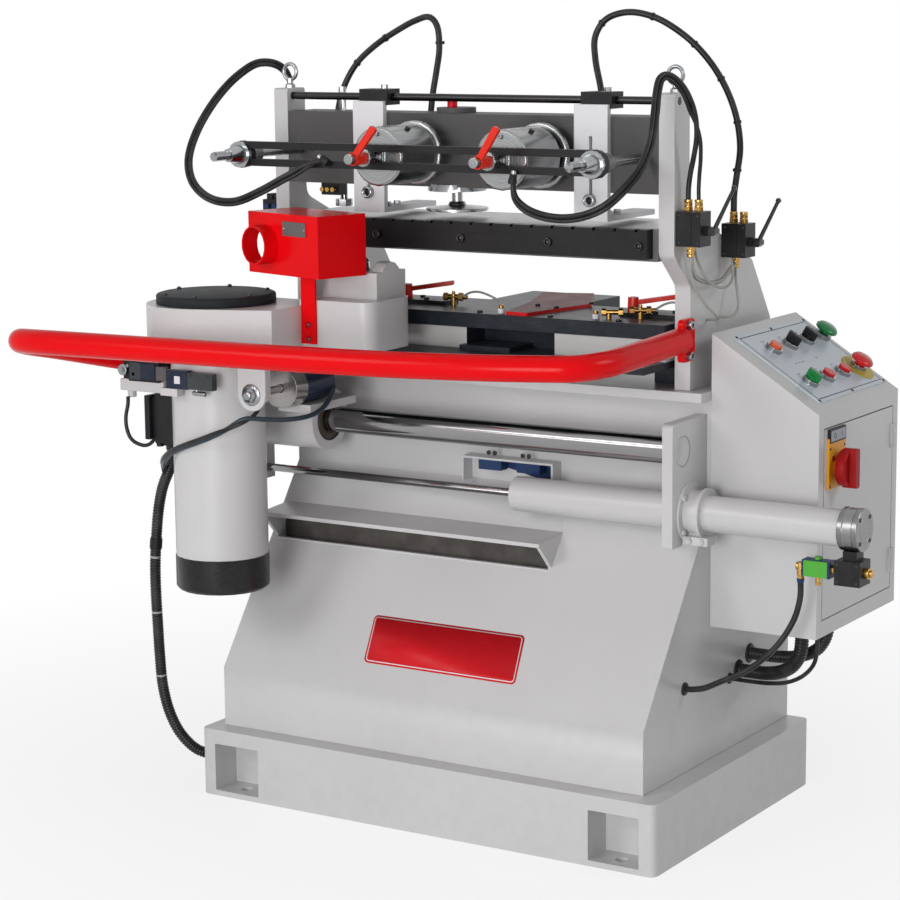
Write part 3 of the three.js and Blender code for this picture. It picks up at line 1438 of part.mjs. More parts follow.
function buildSpindle() {
  const low = (caseHeight - 2 * caseWall - pulleyHeight) / 2;
  const nose = caseHeight - caseWall + blockTopRise + bearingHeight * 0.72 + seat * 3;
  const tip = nose + spindleNoseHeight + cutterLength;
  return turned("z", [
    [0, low], [spindlePulleyRadius, low], [spindlePulleyRadius, low + pulleyHeight],
    [spindleRadius, low + pulleyHeight], [spindleRadius, nose], [spindleNoseRadius, nose],
    [spindleNoseRadius, nose + spindleNoseHeight * 0.7], [spindleNoseRadius * 0.6, nose + spindleNoseHeight],
    [cutterShankRadius, nose + spindleNoseHeight], [cutterShankRadius, tip - cutterLength * 0.5],
    [cutterNeckRadius, tip - cutterLength * 0.42], [cutterNeckRadius, tip - cutterLength * 0.36],
    [cutterRadius, tip], [0, tip],
  ], [spindleX, spindleY, caseBottomZ + caseWall], 28);
}

function buildBeltCover() {
  return turned("z", [
    [0, 0], [coverRadius, 0], [coverRadius, coverThickness * 0.75],
    [coverRadius - coverThickness * 0.25, coverThickness], [0, coverThickness],
  ], [motorX - caseShift - seat, motorY, caseTopZ + seat], 44);
}

// Dust hood in its own frame: origin at its front corner, face along -X, side along +Y. It is a bent
// sheet with a face, a right side and a top. The left end and the back are open.
function buildHood() {
  const skin = hoodSheet;
  const box = cut(
    block([-hoodFace, 0, 0], [0, hoodSide, hoodHeight]),
    block([-hoodFace - overrun, skin, -overrun], [-skin, hoodSide + overrun, hoodHeight - skin]),
  );
  const portX = -hoodFace + portInset;
  const portZ = hoodHeight * 0.48;
  const port = bar("y", portRadius, -portLength, skin / 2, [portX, 0, portZ], 32);
  const duct = bar("y", portRadius - skin, -portLength - overrun, skin + overrun, [portX, 0, portZ], 32);
  const namePlate = block([-plateWidth - plateInset, -plateThickness, hoodHeight - plateHeight - skin * 4],
    [-plateInset, skin / 2, hoodHeight - skin * 4]);
  return cut(join(box, port, namePlate), duct);
}

// Strap that carries the hood on the front of the spindle block, in the world frame.
function buildStrap() {
  const middle = motorX + caseRight + seat * 2 + strapWidth / 2;
  const back = spindleY - blockFrontReach - seat;
  const bottom = caseTopZ - strapBelowCaseTop;
  const top = caseTopZ + hoodBottomRise + hoodSheet * 6;
  const [left, right] = [middle - strapWidth / 2, middle + strapWidth / 2];
  const band = block([left, back - strapThickness, bottom], [right, back, top]);
  const cornerX = spindleX - hoodCornerX;
  const faceY = (x) => spindleY - hoodCornerY + (x - cornerX) * Math.tan(THREE.MathUtils.degToRad(hoodTurnDeg));
  const tie = plate("xy", [
    [left, faceY(left) + hoodSheet / 2], [right, faceY(right) + hoodSheet / 2], [right, back], [left, back],
  ], top - hoodSheet * 1.5, top);
  const screws = [0.12, 0.5].map((share) => bar("y", strapScrewRadius, back - strapThickness - strapScrewHeight,
    back - strapThickness / 2, [middle, 0, bottom + strapBelowCaseTop * share], 12));
  return join(band, tie, ...screws);
}

// Limit switch on an arm bolted to the saddle's side, so it travels with the carriage.
function buildLimitSwitch() {
  const top = caseBottomZ - switchArmDrop;
  const right = sleeveLeft - seat;
  const left = right - switchArmLength;
  const front = motorY - switchArmDepth * 0.6;
  const arm = block([left, front, top - switchArmHeight], [right, front + switchArmDepth, top]);
  const stay = block([right - switchArmHeight, front, top - switchArmHeight],
    [right, shaftY - saddleFrontReach + switchArmDepth, top]);
  const bodyLeft = right - switchArmHeight - switchBodyLength;
  const body = block([bodyLeft, front - switchBodyDepth / 3, top - overrun / 4],
    [bodyLeft + switchBodyLength, front + switchBodyDepth, top + switchBodyHeight]);
  const head = block([bodyLeft - switchHeadLength, front, top - overrun / 4],
    [bodyLeft + overrun, front + switchBodyDepth * 0.8, top + switchBodyHeight * 1.1]);
  const gland = bar("z", switchGlandRadius, top - switchArmHeight - switchGlandHeight, top - switchArmHeight / 2,
    [left + switchArmHeight / 2, front + switchArmDepth / 2, 0], 14);
  return join(arm, stay, body, head, gland);
}

// Template deck: lower template on its spacers, with the white packers and the nest block.
const deckBottom = standTop + deckRise;
const packerBottom = deckBottom + deckThickness;
const templateBottom = packerBottom + packerHeight + seat;

function buildTemplateBase() {
  const left = leftPostInner + deckSideInset;
  const right = rightPostInner - deckSideInset;
  const front = standFace - deckReach;
  const deck = block([left, front, deckBottom], [right, front + deckDepth, packerBottom]);
  const packerFront = standFace - packerReach;
  const packers = [
    block([left, packerFront, packerBottom - overrun], [left + leftPackerWidth, packerFront + packerDepth,
      packerBottom + packerHeight]),
    block([right - rightPackerWidth, packerFront, packerBottom - overrun],
      [right, packerFront + packerDepth, packerBottom + packerHeight]),
  ];
  const nestLeft = left + leftPackerWidth - overrun;
  const nestRight = right - rightPackerWidth + overrun;
  const nest = block([nestLeft, packerFront + nestBlockDepth, packerBottom - overrun],
    [nestRight, packerFront + packerDepth, packerBottom + nestBlockHeight]);
  const nose = block([nestLeft, packerFront - nestBlockDepth * 0.3, packerBottom - overrun],
    [nestLeft + (nestRight - nestLeft) * 0.55, packerFront + nestBlockDepth + overrun, packerBottom + overrun * 2]);
  const spacers = [left, right - deckSpacerWidth].map((x) => block(
    [x, standFace + deckSpacerDepth / 2, standTop + seat],
    [x + deckSpacerWidth, standFace + deckSpacerDepth * 1.4, deckBottom + overrun]));
  return join(deck, ...packers, nest, nose, ...spacers);
}

function templateLeverPlaces() {
  const y = standFace + templateLeverSetback;
  const left = leftPostInner + templateLeverInset;
  return [[left, y], [rightPostInner - templateLeverRightInset, y]];
}

function buildTemplatePlate() {
  const left = leftPostInner + deckSideInset;
  const right = rightPostInner - deckSideInset;
  const front = standFace - templateReach;
  const top = templateBottom + templateThickness;
  const body = block([left, front, templateBottom], [right, front + templateDepth, top]);
  const middle = (left + right) / 2;
  const bridge = block([middle - bridgeWidth / 2, front + templateDepth - overrun, templateBottom],
    [middle + bridgeWidth / 2, front + templateDepth + bridgeDepth, top]);
  const wedge = plate("xy", [
    [middle + bridgeWidth * 0.28, front + wedgeThickness], [middle + bridgeWidth * 0.52, front + wedgeThickness * 0.5],
    [middle + bridgeWidth * 0.7, front + templateDepth * 0.9],
    [middle + bridgeWidth * 0.3, front + templateDepth + bridgeDepth * 0.8],
    [middle - bridgeWidth * 0.2, front + templateDepth + bridgeDepth * 0.6],
    [middle + bridgeWidth * 0.1, front + templateDepth * 0.75],
  ], top - overrun / 4, top + wedgeThickness);
  const clampPlates = templateLeverPlaces().map(([x, y]) => block([x - clampPlateDepth * 0.3, y - clampPlateDepth / 2,
    top - overrun / 4], [x + clampPlateLength, y + clampPlateDepth / 2, top + clampPlateThickness]));
  const bolts = templateLeverPlaces().flatMap(([x, y]) => [1, 2, 3].map((i) => bar("z", wristBoltRadius,
    top + clampPlateThickness / 2, top + clampPlateThickness + wristBoltHeight,
    [x + (clampPlateLength * i) / (wristBoltCount + 0.8), y + clampPlateDepth * 0.28 * (i % 2 ? 1 : -1), 0], 10)));
  const studs = templateLeverPlaces().map(([x, y]) => bar("z", templateLeverHubRadius * 0.45, top,
    top + clampPlateThickness + templateLeverHubHeight, [x, y, 0], 20));
  return join(body, bridge, wedge, ...clampPlates, ...bolts, ...studs);
}

// Clamping lever for a template, in its own frame: hub on the Z axis, arm towards +X.
function buildTemplateLever() {
  const hub = bar("z", templateLeverHubRadius, 0, templateLeverHubHeight, [0, 0, 0], 20,
    templateLeverHubRadius * 0.9);
  const rise = templateLeverHubHeight * 0.6;
  const arm = plate("xz", rounded([
    [0, rise - templateLeverArmThickness / 2], [templateLeverArm, rise + templateLeverArmThickness],
    [templateLeverArm, rise + templateLeverArmThickness * 2], [0, rise + templateLeverArmThickness / 2],
  ], templateLeverArmThickness / 3, 3), -templateLeverArmWidth / 2, templateLeverArmWidth / 2);
  const bore = bar("z", templateLeverHubRadius * 0.45 + runningFit, -overrun, templateLeverHubHeight + overrun,
    [0, 0, 0], 20);
  return cut(join(hub, arm), bore);
}

// Control cabinet in its own frame: origin at its left front bottom corner.
const panelTurn = Math.atan2(cabinetFall, cabinetWidth);
const doorTopZ = doorBottomInset + doorHeight;

function buildCabinet() {
  const outline = (inset) => [
    [inset, inset], [cabinetWidth, inset], [cabinetWidth, cabinetHeight - cabinetFall - inset],
    [inset, cabinetHeight - inset * 1.3],
  ];
  const shell = plate("xz", outline(0), 0, cabinetDepth);
  const inside = cut(
    plate("xz", outline(cabinetSheet).map(([x, z]) => [Math.min(x, cabinetWidth - cabinetSheet), z]),
      cabinetSheet, cabinetDepth - cabinetSheet),
  );
  const doorway = block([cabinetWidth - cabinetSheet - overrun, doorMargin, doorBottomInset],
    [cabinetWidth + overrun, cabinetDepth - doorMargin, doorTopZ]);
  const panelPlace = new THREE.Matrix4().makeTranslation(0, 0, cabinetHeight)
    .multiply(new THREE.Matrix4().makeRotationY(panelTurn));
  return join(cut(shell, inside, doorway), placed(buildLegend(), panelPlace));
}

// Legend plate with the collars of its eight controls, in the panel's own frame.
function controlPlaces() {
  const places = [];
  for (let i = 0; i < 4; i++) places.push([controlRowTop, rowStart - cabinetFrontShift + controlPitch * i]);
  for (let i = 0; i < 4; i++) {
    places.push([controlRowLow, rowStart - cabinetFrontShift + lowRowShift + controlPitch * i]);
  }
  return places;
}
const cabinetFrontShift = cabinetFrontSetback * 0.5;

function buildLegend() {
  const base = block([legendInsetTop, legendInsetFront, -cabinetSheet / 2],
    [legendInsetTop + legendLength, legendInsetFront + legendDepth, legendThickness + seat]);
  const collars = controlPlaces().map(([s, y], i) => {
    const wide = i === 7 ? estopCollarRadius : bezelRadius;
    const tall = i === 7 ? estopCollarHeight : bezelHeight;
    const ring = join(
      bar("z", wide, seat + legendThickness / 2, seat + legendThickness + tall, [s, y, 0], 26),
      bar("z", bezelRadius, seat + legendThickness / 2, seat + legendThickness + bezelHeight, [s, y, 0], 26),
    );
    const inner = (i === 3 || i === 7) ? mushroomStem : buttonRadius;
    return cut(ring, bar("z", inner + seat, seat + legendThickness, seat + legendThickness + bezelHeight + overrun,
      [s, y, 0], 26));
  });
  return join(base, ...collars);
}

// A control in its own frame: pressed or turned about +Z, standing on the legend plate.
const controlFloor = legendThickness + seat * 2;

function buildButton() {
  return bar("z", buttonRadius, controlFloor + buttonTravel, controlFloor + bezelHeight + buttonHeight,
    [0, 0, 0], 26);
}

function buildMushroom() {
  const low = controlFloor + mushroomTravel;
  const capLow = controlFloor + bezelHeight + mushroomTravel + mushroomStemHeight * 0.1;
  return turned("z", [
    [0, low], [mushroomStem, low], [mushroomStem, capLow], [mushroomRadius, capLow],
    [mushroomRadius, capLow + mushroomHeight * 0.5], [mushroomRadius * 0.75, capLow + mushroomHeight],
    [0, capLow + mushroomHeight * 1.15],
  ], [0, 0, 0], 26);
}

function buildSelector() {
  const base = bar("z", buttonRadius, controlFloor, controlFloor + bezelHeight, [0, 0, 0], 26);
  const grip = plate("xy", rounded(rectangle(-selectorLength / 2, -selectorWidth / 2, selectorLength / 2,
    selectorWidth / 2), selectorWidth / 3, 3), controlFloor + bezelHeight + seat,
    controlFloor + bezelHeight + selectorHeight);
  const neck = bar("z", buttonRadius * 0.8, controlFloor + bezelHeight / 2,
    controlFloor + bezelHeight + selectorHeight / 2, [0, 0, 0], 16);
  return join(base, neck, grip);
}

// Door in its own frame: origin on the hinge axis just outside the cabinet, door towards -Y.
const hingeOut = hingePinRadius + seat;

function buildDoor() {
  const width = cabinetDepth - 2 * doorMargin - 2 * doorReveal;
  const leaf = block([-hingeOut - doorSheet, -width, doorReveal], [-hingeOut, 0, doorHeight - doorReveal]);
  const plateTop = doorHeight - switchPlateDrop;
  const plateFront = -width + switchPlateInset;
  const yellow = block([-hingeOut - doorSheet / 2, plateFront, plateTop - switchPlateHeight],
    [-hingeOut + switchPlateThickness, plateFront + switchPlateWidth, plateTop]);
  const hub = bar("x", switchKnobRadius * 0.5, -hingeOut - doorSheet / 2,
    -hingeOut + switchPlateThickness + switchKnobBase * 0.5, switchAxis(), 20);
  const knuckles = [0.16, 0.84].map((share) => join(
    bar("z", hingePinRadius, doorHeight * share - hingeKnuckle / 2, doorHeight * share + hingeKnuckle / 2,
      [0, 0, 0], 12),
    block([-hingeOut - doorSheet / 2, -hingePinRadius * 4, doorHeight * share - hingeKnuckle / 2],
      [-hingeOut + hingePinRadius, -hingePinRadius / 2, doorHeight * share + hingeKnuckle / 2]),
  ));
  return join(leaf, yellow, hub, ...knuckles);
}

function switchAxis() {
  const width = cabinetDepth - 2 * doorMargin - 2 * doorReveal;
  return [0, -width + switchPlateInset + switchPlateWidth / 2, doorHeight - switchPlateDrop - switchPlateHeight * 0.6];
}

// Main switch handle in its own frame: turns about +X.
function buildSwitchKnob() {
  const start = -hingeOut + switchPlateThickness + switchKnobBase * 0.5 + seat;
  const base = bar("x", switchKnobRadius, start, start + switchKnobBase, [0, 0, 0], 28);
  const grip = plate("yz", rounded(rectangle(-switchKnobGrip / 2, -switchKnobRadius * 1.25, switchKnobGrip / 2,
    switchKnobRadius * 1.25), switchKnobGrip / 3, 4), start + switchKnobBase / 2, start + switchKnobHeight);
  return join(base, grip);
}

// Hand valves: two bodies on the right post's outer face, with the air line that links them.
function valveOrigins() {
  const front = postFront + valveFrontInset;
  const low = standTop + valveRise;
  return [[rightPostOuter + seat, front, low], [rightPostOuter + seat, front + rearValveSetback, low - rearValveFall]];
}

function buildHandValves() {
  const parts = [];
  for (const [x, y, z] of valveOrigins()) {
    parts.push(block([x, y, z], [x + valveWidth, y + valveDepth, z + valveHeight]));
    parts.push(bar("x", valveNeckRadius, x + valveWidth - overrun, x + valveWidth + valveNeckLength,
      [0, y + valveDepth / 2, z + valveHeight * 0.45], 16));
    for (const share of [0.3, 0.72]) {
      parts.push(bar("z", fittingRadius, z + valveHeight - overrun, z + valveHeight + fittingHeight,
        [x + valveWidth * share, y + valveDepth / 2, 0], 8));
    }
    parts.push(bar("z", fittingRadius, z - fittingHeight, z + overrun, [x + valveWidth * 0.4, y + valveDepth / 2, 0], 8));
  }
  const [[fx, fy, fz], [rx, ry, rz]] = valveOrigins();
  const lift = (fz - rz) * 0.5;
  parts.push(tube([
    [fx + valveWidth * 0.4, fy + valveDepth / 2, fz - fittingHeight * 0.5],
    [fx + valveWidth * 0.4, fy + valveDepth / 2 + rearValveSetback * 0.08, fz - fittingHeight * 2 - lift],
    [rx + valveWidth * 0.4, ry + valveDepth / 2 - rearValveSetback * 0.35, rz - fittingHeight * 2.2],
    [rx + valveWidth * 0.4, ry + valveDepth / 2, rz - fittingHeight * 0.5],
  ], airLinkRadius, 8, 14));
  return join(...parts);
}

// Valve lever in its own frame: turns about Y, standing up along +Z.
function buildValveLever() {
  const hub = bar("y", valveHubRadius, -valveHubLength / 2, valveHubLength / 2, [0, 0, 0], 16);
  const stick = bar("z", valveLeverRadius, 0, valveLeverLength, [0, 0, 0], 10, valveLeverRadius * 0.8);
  const knob = turned("z", [
    [0, 0], [valveLeverRadius * 1.2, valveLeverRadius * 0.6], [valveLeverRadius * 1.2, valveLeverRadius * 1.8],
    [0, valveLeverRadius * 2.4],
  ], [0, 0, valveLeverLength - valveLeverRadius], 12);
  return join(hub, stick, knob);
}

// Guard bar: a bent tube from the right post round the front of the machine to the stand's left side.
// Its path is a list of places chosen by hand, each given as the share of the stand's width from its left
// side, the share of the overhang left of the stand, the share of the reach in front of the upright
// face, and the share of the rise above the stand.
const guardPath = [
  [0.9689, 0, 0.1299, 1.1733], [0.9689, 0, 0.3155, 1.1333], [0.9689, 0, 0.5052, 1.0933],
  [0.9641, 0, 0.6454, 1.0667], [0.9329, 0, 0.7485, 1.04], [0.8635, 0, 0.7979, 1.0267],
  [0.7485, 0, 0.8536, 1.0133], [0.5808, 0, 0.9072, 1], [0.3653, 0, 0.9485, 1],
  [0.1257, 0, 0.9753, 1], [0, 0.2964, 0.9959, 1], [0, 0.7628, 1, 0.9867],
  [0, 0.9447, 0.9711, 0.9467], [0, 1, 0.8969, 0.8267], [0, 0.9447, 0.7979, 0.68],
  [0, 0.8024, 0.6289, 0.4], [0, 0.5336, 0.3113, -0.1333], [0, 0.3202, 0.0474, -0.5733],
  [0, 0.1779, -0.1381, -0.8933], [0, 0.1067, -0.2412, -1.04], [0, 0.083, -0.2866, -1.0933],
];

function guardRoute() {
  return guardPath.map(([across, out, forward, up]) => [
    standLeft + across * standWidth - out * guardOverhang, standFace - forward * guardReach,
    standTop + up * guardRise,
  ]);
}

function buildGuard() {
  const route = guardRoute();
  const bent = tube(route, guardRadius, guardSides, 44);
  const plateLeft = rightPostOuter + seat;
  const low = standTop + guardFlangeRise;
  const front = standFace - guardFlangeReach;
  const rightFlange = plate("yz", rounded(rectangle(front, low, front + guardFlangeDepth, low + guardFlangeHeight),
    guardFlangeThickness, 4), plateLeft, plateLeft + guardFlangeThickness);
  const screws = [0.2, 0.8].map((share) => bar("x", guardScrewRadius, plateLeft + guardFlangeThickness / 2,
    plateLeft + guardFlangeThickness + guardScrewHeight,
    [0, front + guardFlangeDepth - guardScrewRadius * 1.8, low + guardFlangeHeight * share], 12));
  const [endX, endY, endZ] = route[route.length - 1];
  const leftFlange = bar("x", guardRadius * 1.8, standLeft - guardFlangeThickness - seat, standLeft - seat,
    [0, endY, endZ], 28);
  const stub = bar("x", guardRadius * 0.9, endX - guardRadius, standLeft - guardFlangeThickness / 2,
    [0, endY, endZ], 16);
  const clearStand = block([standLeft - seat, endY - guardRadius * 4, endZ - guardRadius * 4],
    [standLeft + guardRadius * 4, endY + guardRadius * 4, endZ + guardRadius * 4]);
  return cut(join(bent, rightFlange, ...screws, leftFlange, stub), clearStand);
}

// Free hoses and cables. Their routes are lists of places chosen by hand.
const conduitRoute = [
  [-492.6, -297, 614.7], [-492.6, -297, 584], [-495, -297, 544], [-506, -296, 500], [-520, -295, 456],
  [-531, -294, 404], [-538, -293, 352], [-541, -292, 300], [-542, -290, 240], [-540, -286, 180],
  [-533, -276, 128], [-520, -262, 88], [-502, -244, 60], [-486, -230, 50], [-470, -224, 46], [-450.4, -224, 46],
];
const leftHoseRoute = [
  [-408.8, -43, 1216], [-409.4, -44, 1240], [-422, -58, 1266], [-444, -84, 1272], [-464, -118, 1252],
  [-482, -160, 1212], [-490, -208, 1156], [-478, -246, 1112], [-446, -276, 1078], [-396, -296, 1056],
  [-340, -306, 1054], [-290, -304, 1072], [-244, -294, 1096], [-208, -283, 1114], [-176, -277.8, 1123],
];
const rightHoseRoute = [
  [186, -277.8, 1121], [199, -287, 1092], [224, -295, 1064], [258, -291, 1047], [296, -268, 1050],
  [326, -240, 1076], [343, -206, 1110], [350, -172, 1152], [352, -146, 1200], [358, -122, 1244],
  [374, -98, 1264], [394, -81, 1248], [404, -76, 1204], [402, -77, 1150], [394.5, -77, 1106], [393.5, -77, 1082], [393.5, -77, 1060.3],
];
const rearLeftHoseRoute = [
  [-330, -12.2, 1150], [-330, -11, 1188], [-322, -2, 1232], [-300, 6, 1272], [-262, 10, 1304],
  [-220, 12, 1328], [-180, 12, 1346], [-150, 10, 1352], [-134, 8, 1338], [-128, 6, 1300],
  [-130, -1, 1260], [-134, -7, 1222], [-136, -11.4, 1184], [-136, -12.2, 1150],
];
const rearRightHoseRoute = [
  [206, -12.2, 1150], [204, -11, 1190], [192, -2, 1236], [178, 6, 1280], [174, 12, 1318], [190, 18, 1346],
  [226, 26, 1358], [270, 38, 1350], [316, 52, 1322], [352, 64, 1286], [380, 74, 1242], [400, 80, 1190],
  [406, 85, 1136], [399, 88, 1092], [394, 89, 1060], [393.5, 89, 1044], [393.5, 89, 1028.3],
];
const feedHoseRoute = [
  [598.3, -78, 462.6], [598.3, -78, 434], [591, -81, 400], [576, -88, 368], [557, -94, 342], [532, -100, 318],
  [506, -106, 300], [474, -110, 284], [446, -113, 270], [424, -114, 265], [410.4, -114, 264],
];
const cabinetConduitRoute = [
  [1, 0.2362, 0.004], [1, 0.2362, 0.24], [0.9692, 0.2423, 0.5], [0.8462, 0.2607, 0.74],
  [0.6462, 0.2853, 0.9], [0.4154, 0.3098, 0.98], [0.2, 0.3221, 1], [0.0031, 0.3221, 1],
].map(([right, back, down]) => [
  standRight + right * conduitOut, standFace + back * cabinetDepth, cabinetBottom - down * conduitDrop,
]);

function buildMachine() {
  piece(machine, "plinth", buildPlinth(), paint);
  piece(machine, "stand_body", buildStand(), paint);

  const frame = assembly(0, 0, 0);
  piece(frame, "post_left", buildPost(leftPostOuter, leftPostInner), paint);
  piece(frame, "post_right", buildPost(rightPostOuter, rightPostInner), paint);
  piece(frame, "clamp_beam", buildBeam(), darkPaint);
  piece(frame, "work_table", buildWorkTable(), tableGrey);
  piece(frame, "comb_bar", buildComb(), darkSteel);
  piece(frame, "top_rod", buildTopRod(), darkSteel);
  piece(frame, "stop_left", buildStop(leftPostInner + leftStopInset), whitePlate);
  piece(frame, "stop_right", buildStop(rightPostInner - rightStopInset - stopWidth), whitePlate);
  piece(frame, "hold_down_foot", buildHoldDownFoot(), chrome);

  const clamps = assembly(0, 0, 0, frame);
  piece(clamps, "clamp_rail", buildRail(), darkSteel);
  const drums = { left: leftPostInner + leftDrumInset, right: rightPostInner - rightDrumInset };
  const leanDeg = { left: 39, right: 33 };
  for (const [side, x] of Object.entries(drums)) {
    piece(clamps, `clamp_cylinder_${side}`, buildDrum(x), zinc);
    piece(clamps, `clamp_pad_${side}`, buildPad(x, padRestOut[side]), zinc);
    const lever = piece(clamps, `ratchet_lever_${side}`, buildRatchetLever(), leverRed);
    lever.position.set(x, beamFront - railGapToBeam - railBar - leverStandoff - seat, drumAxis(x)[2]);
    lever.rotation.y = THREE.MathUtils.degToRad(leanDeg[side]);
  }

  const slide = assembly(0, 0, 0);
  piece(slide, "shaft_bracket", buildShaftBracket(), paint);
  piece(slide, "guide_shaft", buildGuideShaft(), chrome);
  piece(slide, "feed_cylinder", buildFeedCylinder(), paint);
  piece(slide, "cylinder_end_cap", buildEndCap(), zinc);

  const carriage = assembly(0, 0, 0, slide);
  piece(carriage, "piston_rod", buildPistonRod(), chrome);
  piece(carriage, "carriage", buildCarriage(), paint);
  piece(carriage, "guide_roller", buildRoller(), darkSteel);
  piece(carriage, "cross_cylinder", buildCrossCylinder(), blueBlack);

  const head = assembly(0, 0, 0, carriage);
  piece(head, "head_casting", buildHead(), paint);
  piece(head, "motor_case", buildMotorCase(), paint);
  piece(head, "motor_rotor", buildRotor(), darkSteel);
  piece(head, "belt_cover", buildBeltCover(), blackPlastic);
  piece(head, "drive_belt", buildBelt(), rubber);
  piece(head, "spindle", buildSpindle(), chrome);
  const hoodPlace = new THREE.Matrix4()
    .makeTranslation(spindleX - hoodCornerX, spindleY - hoodCornerY, caseTopZ + hoodBottomRise)
    .multiply(new THREE.Matrix4().makeRotationZ(THREE.MathUtils.degToRad(hoodTurnDeg)));
  piece(head, "dust_hood", join(placed(buildHood(), hoodPlace), buildStrap()), guardRed);
  piece(head, "limit_switch", buildLimitSwitch(), darkSteel);

  const deck = assembly(0, 0, 0);
  piece(deck, "template_base", buildTemplateBase(), whitePlate);
  piece(deck, "template_plate", buildTemplatePlate(), templateBlue);
  templateLeverPlaces().forEach(([x, y], i) => {
    const lever = piece(deck, `template_lever_${i ? "right" : "left"}`, buildTemplateLever(), leverRed);
    lever.position.set(x, y, templateBottom + templateThickness + clampPlateThickness + seat);
    lever.rotation.z = THREE.MathUtils.degToRad(24);
  });

  const cabinet = assembly(standRight + seat, standFace - cabinetFrontSetback, cabinetBottom);
  piece(cabinet, "control_cabinet", buildCabinet(), paint);
  const doorPlace = assembly(cabinetWidth + hingeOut, cabinetDepth - doorMargin - doorReveal, doorBottomInset, cabinet);
  piece(doorPlace, "cabinet_door", buildDoor(), paint);
  const knobPlace = assembly(...switchAxis(), doorPlace);
  piece(knobPlace, "main_switch", buildSwitchKnob(), switchRed);
  const panel = assembly(0, 0, cabinetHeight, cabinet);
  panel.rotation.y = panelTurn;
  const kinds = [
    ["push_button_orange", buildButton, signalOrange], ["selector_first", buildSelector, blackPlastic],
    ["selector_second", buildSelector, blackPlastic], ["start_mushroom", buildMushroom, signalGreen],
    ["selector_green", buildSelector, signalGreen], ["push_button_red", buildButton, signalRed],
    ["push_button_red_second", buildButton, signalRed], ["stop_mushroom", buildMushroom, signalRed],
  ];
  controlPlaces().forEach(([s, y], i) => {
    const [name, make, look] = kinds[i];
    piece(assembly(s, y, 0, panel), name, make(), look);
  });

  const valves = assembly(0, 0, 0);
  piece(valves, "hand_valves", buildHandValves(), blackPlastic);
  valveOrigins().forEach(([x, y, z], i) => {
    const lever = piece(valves, `valve_lever_${i ? "rear" : "front"}`, buildValveLever(), chrome);
    lever.position.set(x + valveWidth + valveNeckLength + valveHubRadius + seat, y + valveDepth / 2,
      z + valveHeight * 0.45);
    lever.rotation.y = THREE.MathUtils.degToRad(valveLeverLeanDeg);
  });

  piece(machine, "guard_bar", buildGuard(), guardRed);
  piece(machine, "motor_conduit", corrugated(conduitRoute, conduitRadius, conduitBore, conduitRibCount), rubber);
  piece(machine, "hose_left", tube(leftHoseRoute, airHoseRadius, 8, 28), rubber);
  piece(machine, "hose_right", tube(rightHoseRoute, airHoseRadius, 8, 30), rubber);
  piece(machine, "hose_rear_left", tube(rearLeftHoseRoute, airHoseRadius, 8, 26), rubber);
  piece(machine, "hose_rear_right", tube(rearRightHoseRoute, airHoseRadius, 8, 30), rubber);
  piece(machine, "feed_hose", tube(feedHoseRoute, feedHoseRadius, 8, 18), rubber);
  piece(machine, "cabinet_conduit", tube(cabinetConduitRoute, cabinetConduitRadius, 10, 14), rubber);
}

buildMachine();

export default machine;
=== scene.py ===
"""Dovetailing machine: materials, trim, hoses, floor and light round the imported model.

Lengths in the piece builders are millimetres in the machine's own frame and turn into metres
when a piece is finished. +X is the operator's right, +Y the back, +Z up.
"""

import math

import bmesh
import bpy
from mathutils import Matrix, Vector


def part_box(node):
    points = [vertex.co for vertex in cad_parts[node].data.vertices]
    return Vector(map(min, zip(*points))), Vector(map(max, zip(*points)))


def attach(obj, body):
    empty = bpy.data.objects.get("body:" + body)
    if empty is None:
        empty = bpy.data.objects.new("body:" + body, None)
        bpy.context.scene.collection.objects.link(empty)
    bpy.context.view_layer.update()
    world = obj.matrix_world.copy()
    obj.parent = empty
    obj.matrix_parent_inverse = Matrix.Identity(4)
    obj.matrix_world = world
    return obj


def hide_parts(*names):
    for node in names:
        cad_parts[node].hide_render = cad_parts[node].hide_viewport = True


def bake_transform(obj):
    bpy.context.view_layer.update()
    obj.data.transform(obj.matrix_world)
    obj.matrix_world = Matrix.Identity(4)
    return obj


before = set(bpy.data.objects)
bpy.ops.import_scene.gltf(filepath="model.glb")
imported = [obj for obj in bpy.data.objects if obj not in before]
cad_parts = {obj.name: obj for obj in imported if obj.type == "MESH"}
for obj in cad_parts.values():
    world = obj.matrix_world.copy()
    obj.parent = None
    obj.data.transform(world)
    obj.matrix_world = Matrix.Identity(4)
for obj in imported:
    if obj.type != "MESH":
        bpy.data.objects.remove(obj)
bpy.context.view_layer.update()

bl_info = {
    "name": "Dovetailing machine",
    "version": (1, 0, 0),
    "blender": (4, 5, 0),
    "location": "3D View > Sidebar > Machine",
    "description": "Builds the finishes, fittings, hoses and studio for the dovetailing machine",
    "category": "Object",
}

MM = 0.001
SIDES = ("left", "right")


# Places in millimetres, most of them read from the imported part

def extent(node):
    """A node's lowest and highest corner."""
    return [Vector(corner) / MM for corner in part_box(node)]


def middle(node):
    low, high = extent(node)
    return (low + high) / 2


FEED = middle("piston_rod")
MOTOR = middle("motor_rotor")
HOLD_DOWN = middle("hold_down_foot")
CLAMPS = {side: middle("clamp_cylinder_" + side) for side in SIDES}
CROSS = Vector((middle("cross_cylinder").x, 0, 737))
SHAFT = Vector((0, -104, 657))
SWITCH = middle("main_switch")
STAND_RIGHT = extent("stand_body")[1].x
PLATE_TOP = 854.3


# Settings that a user would change

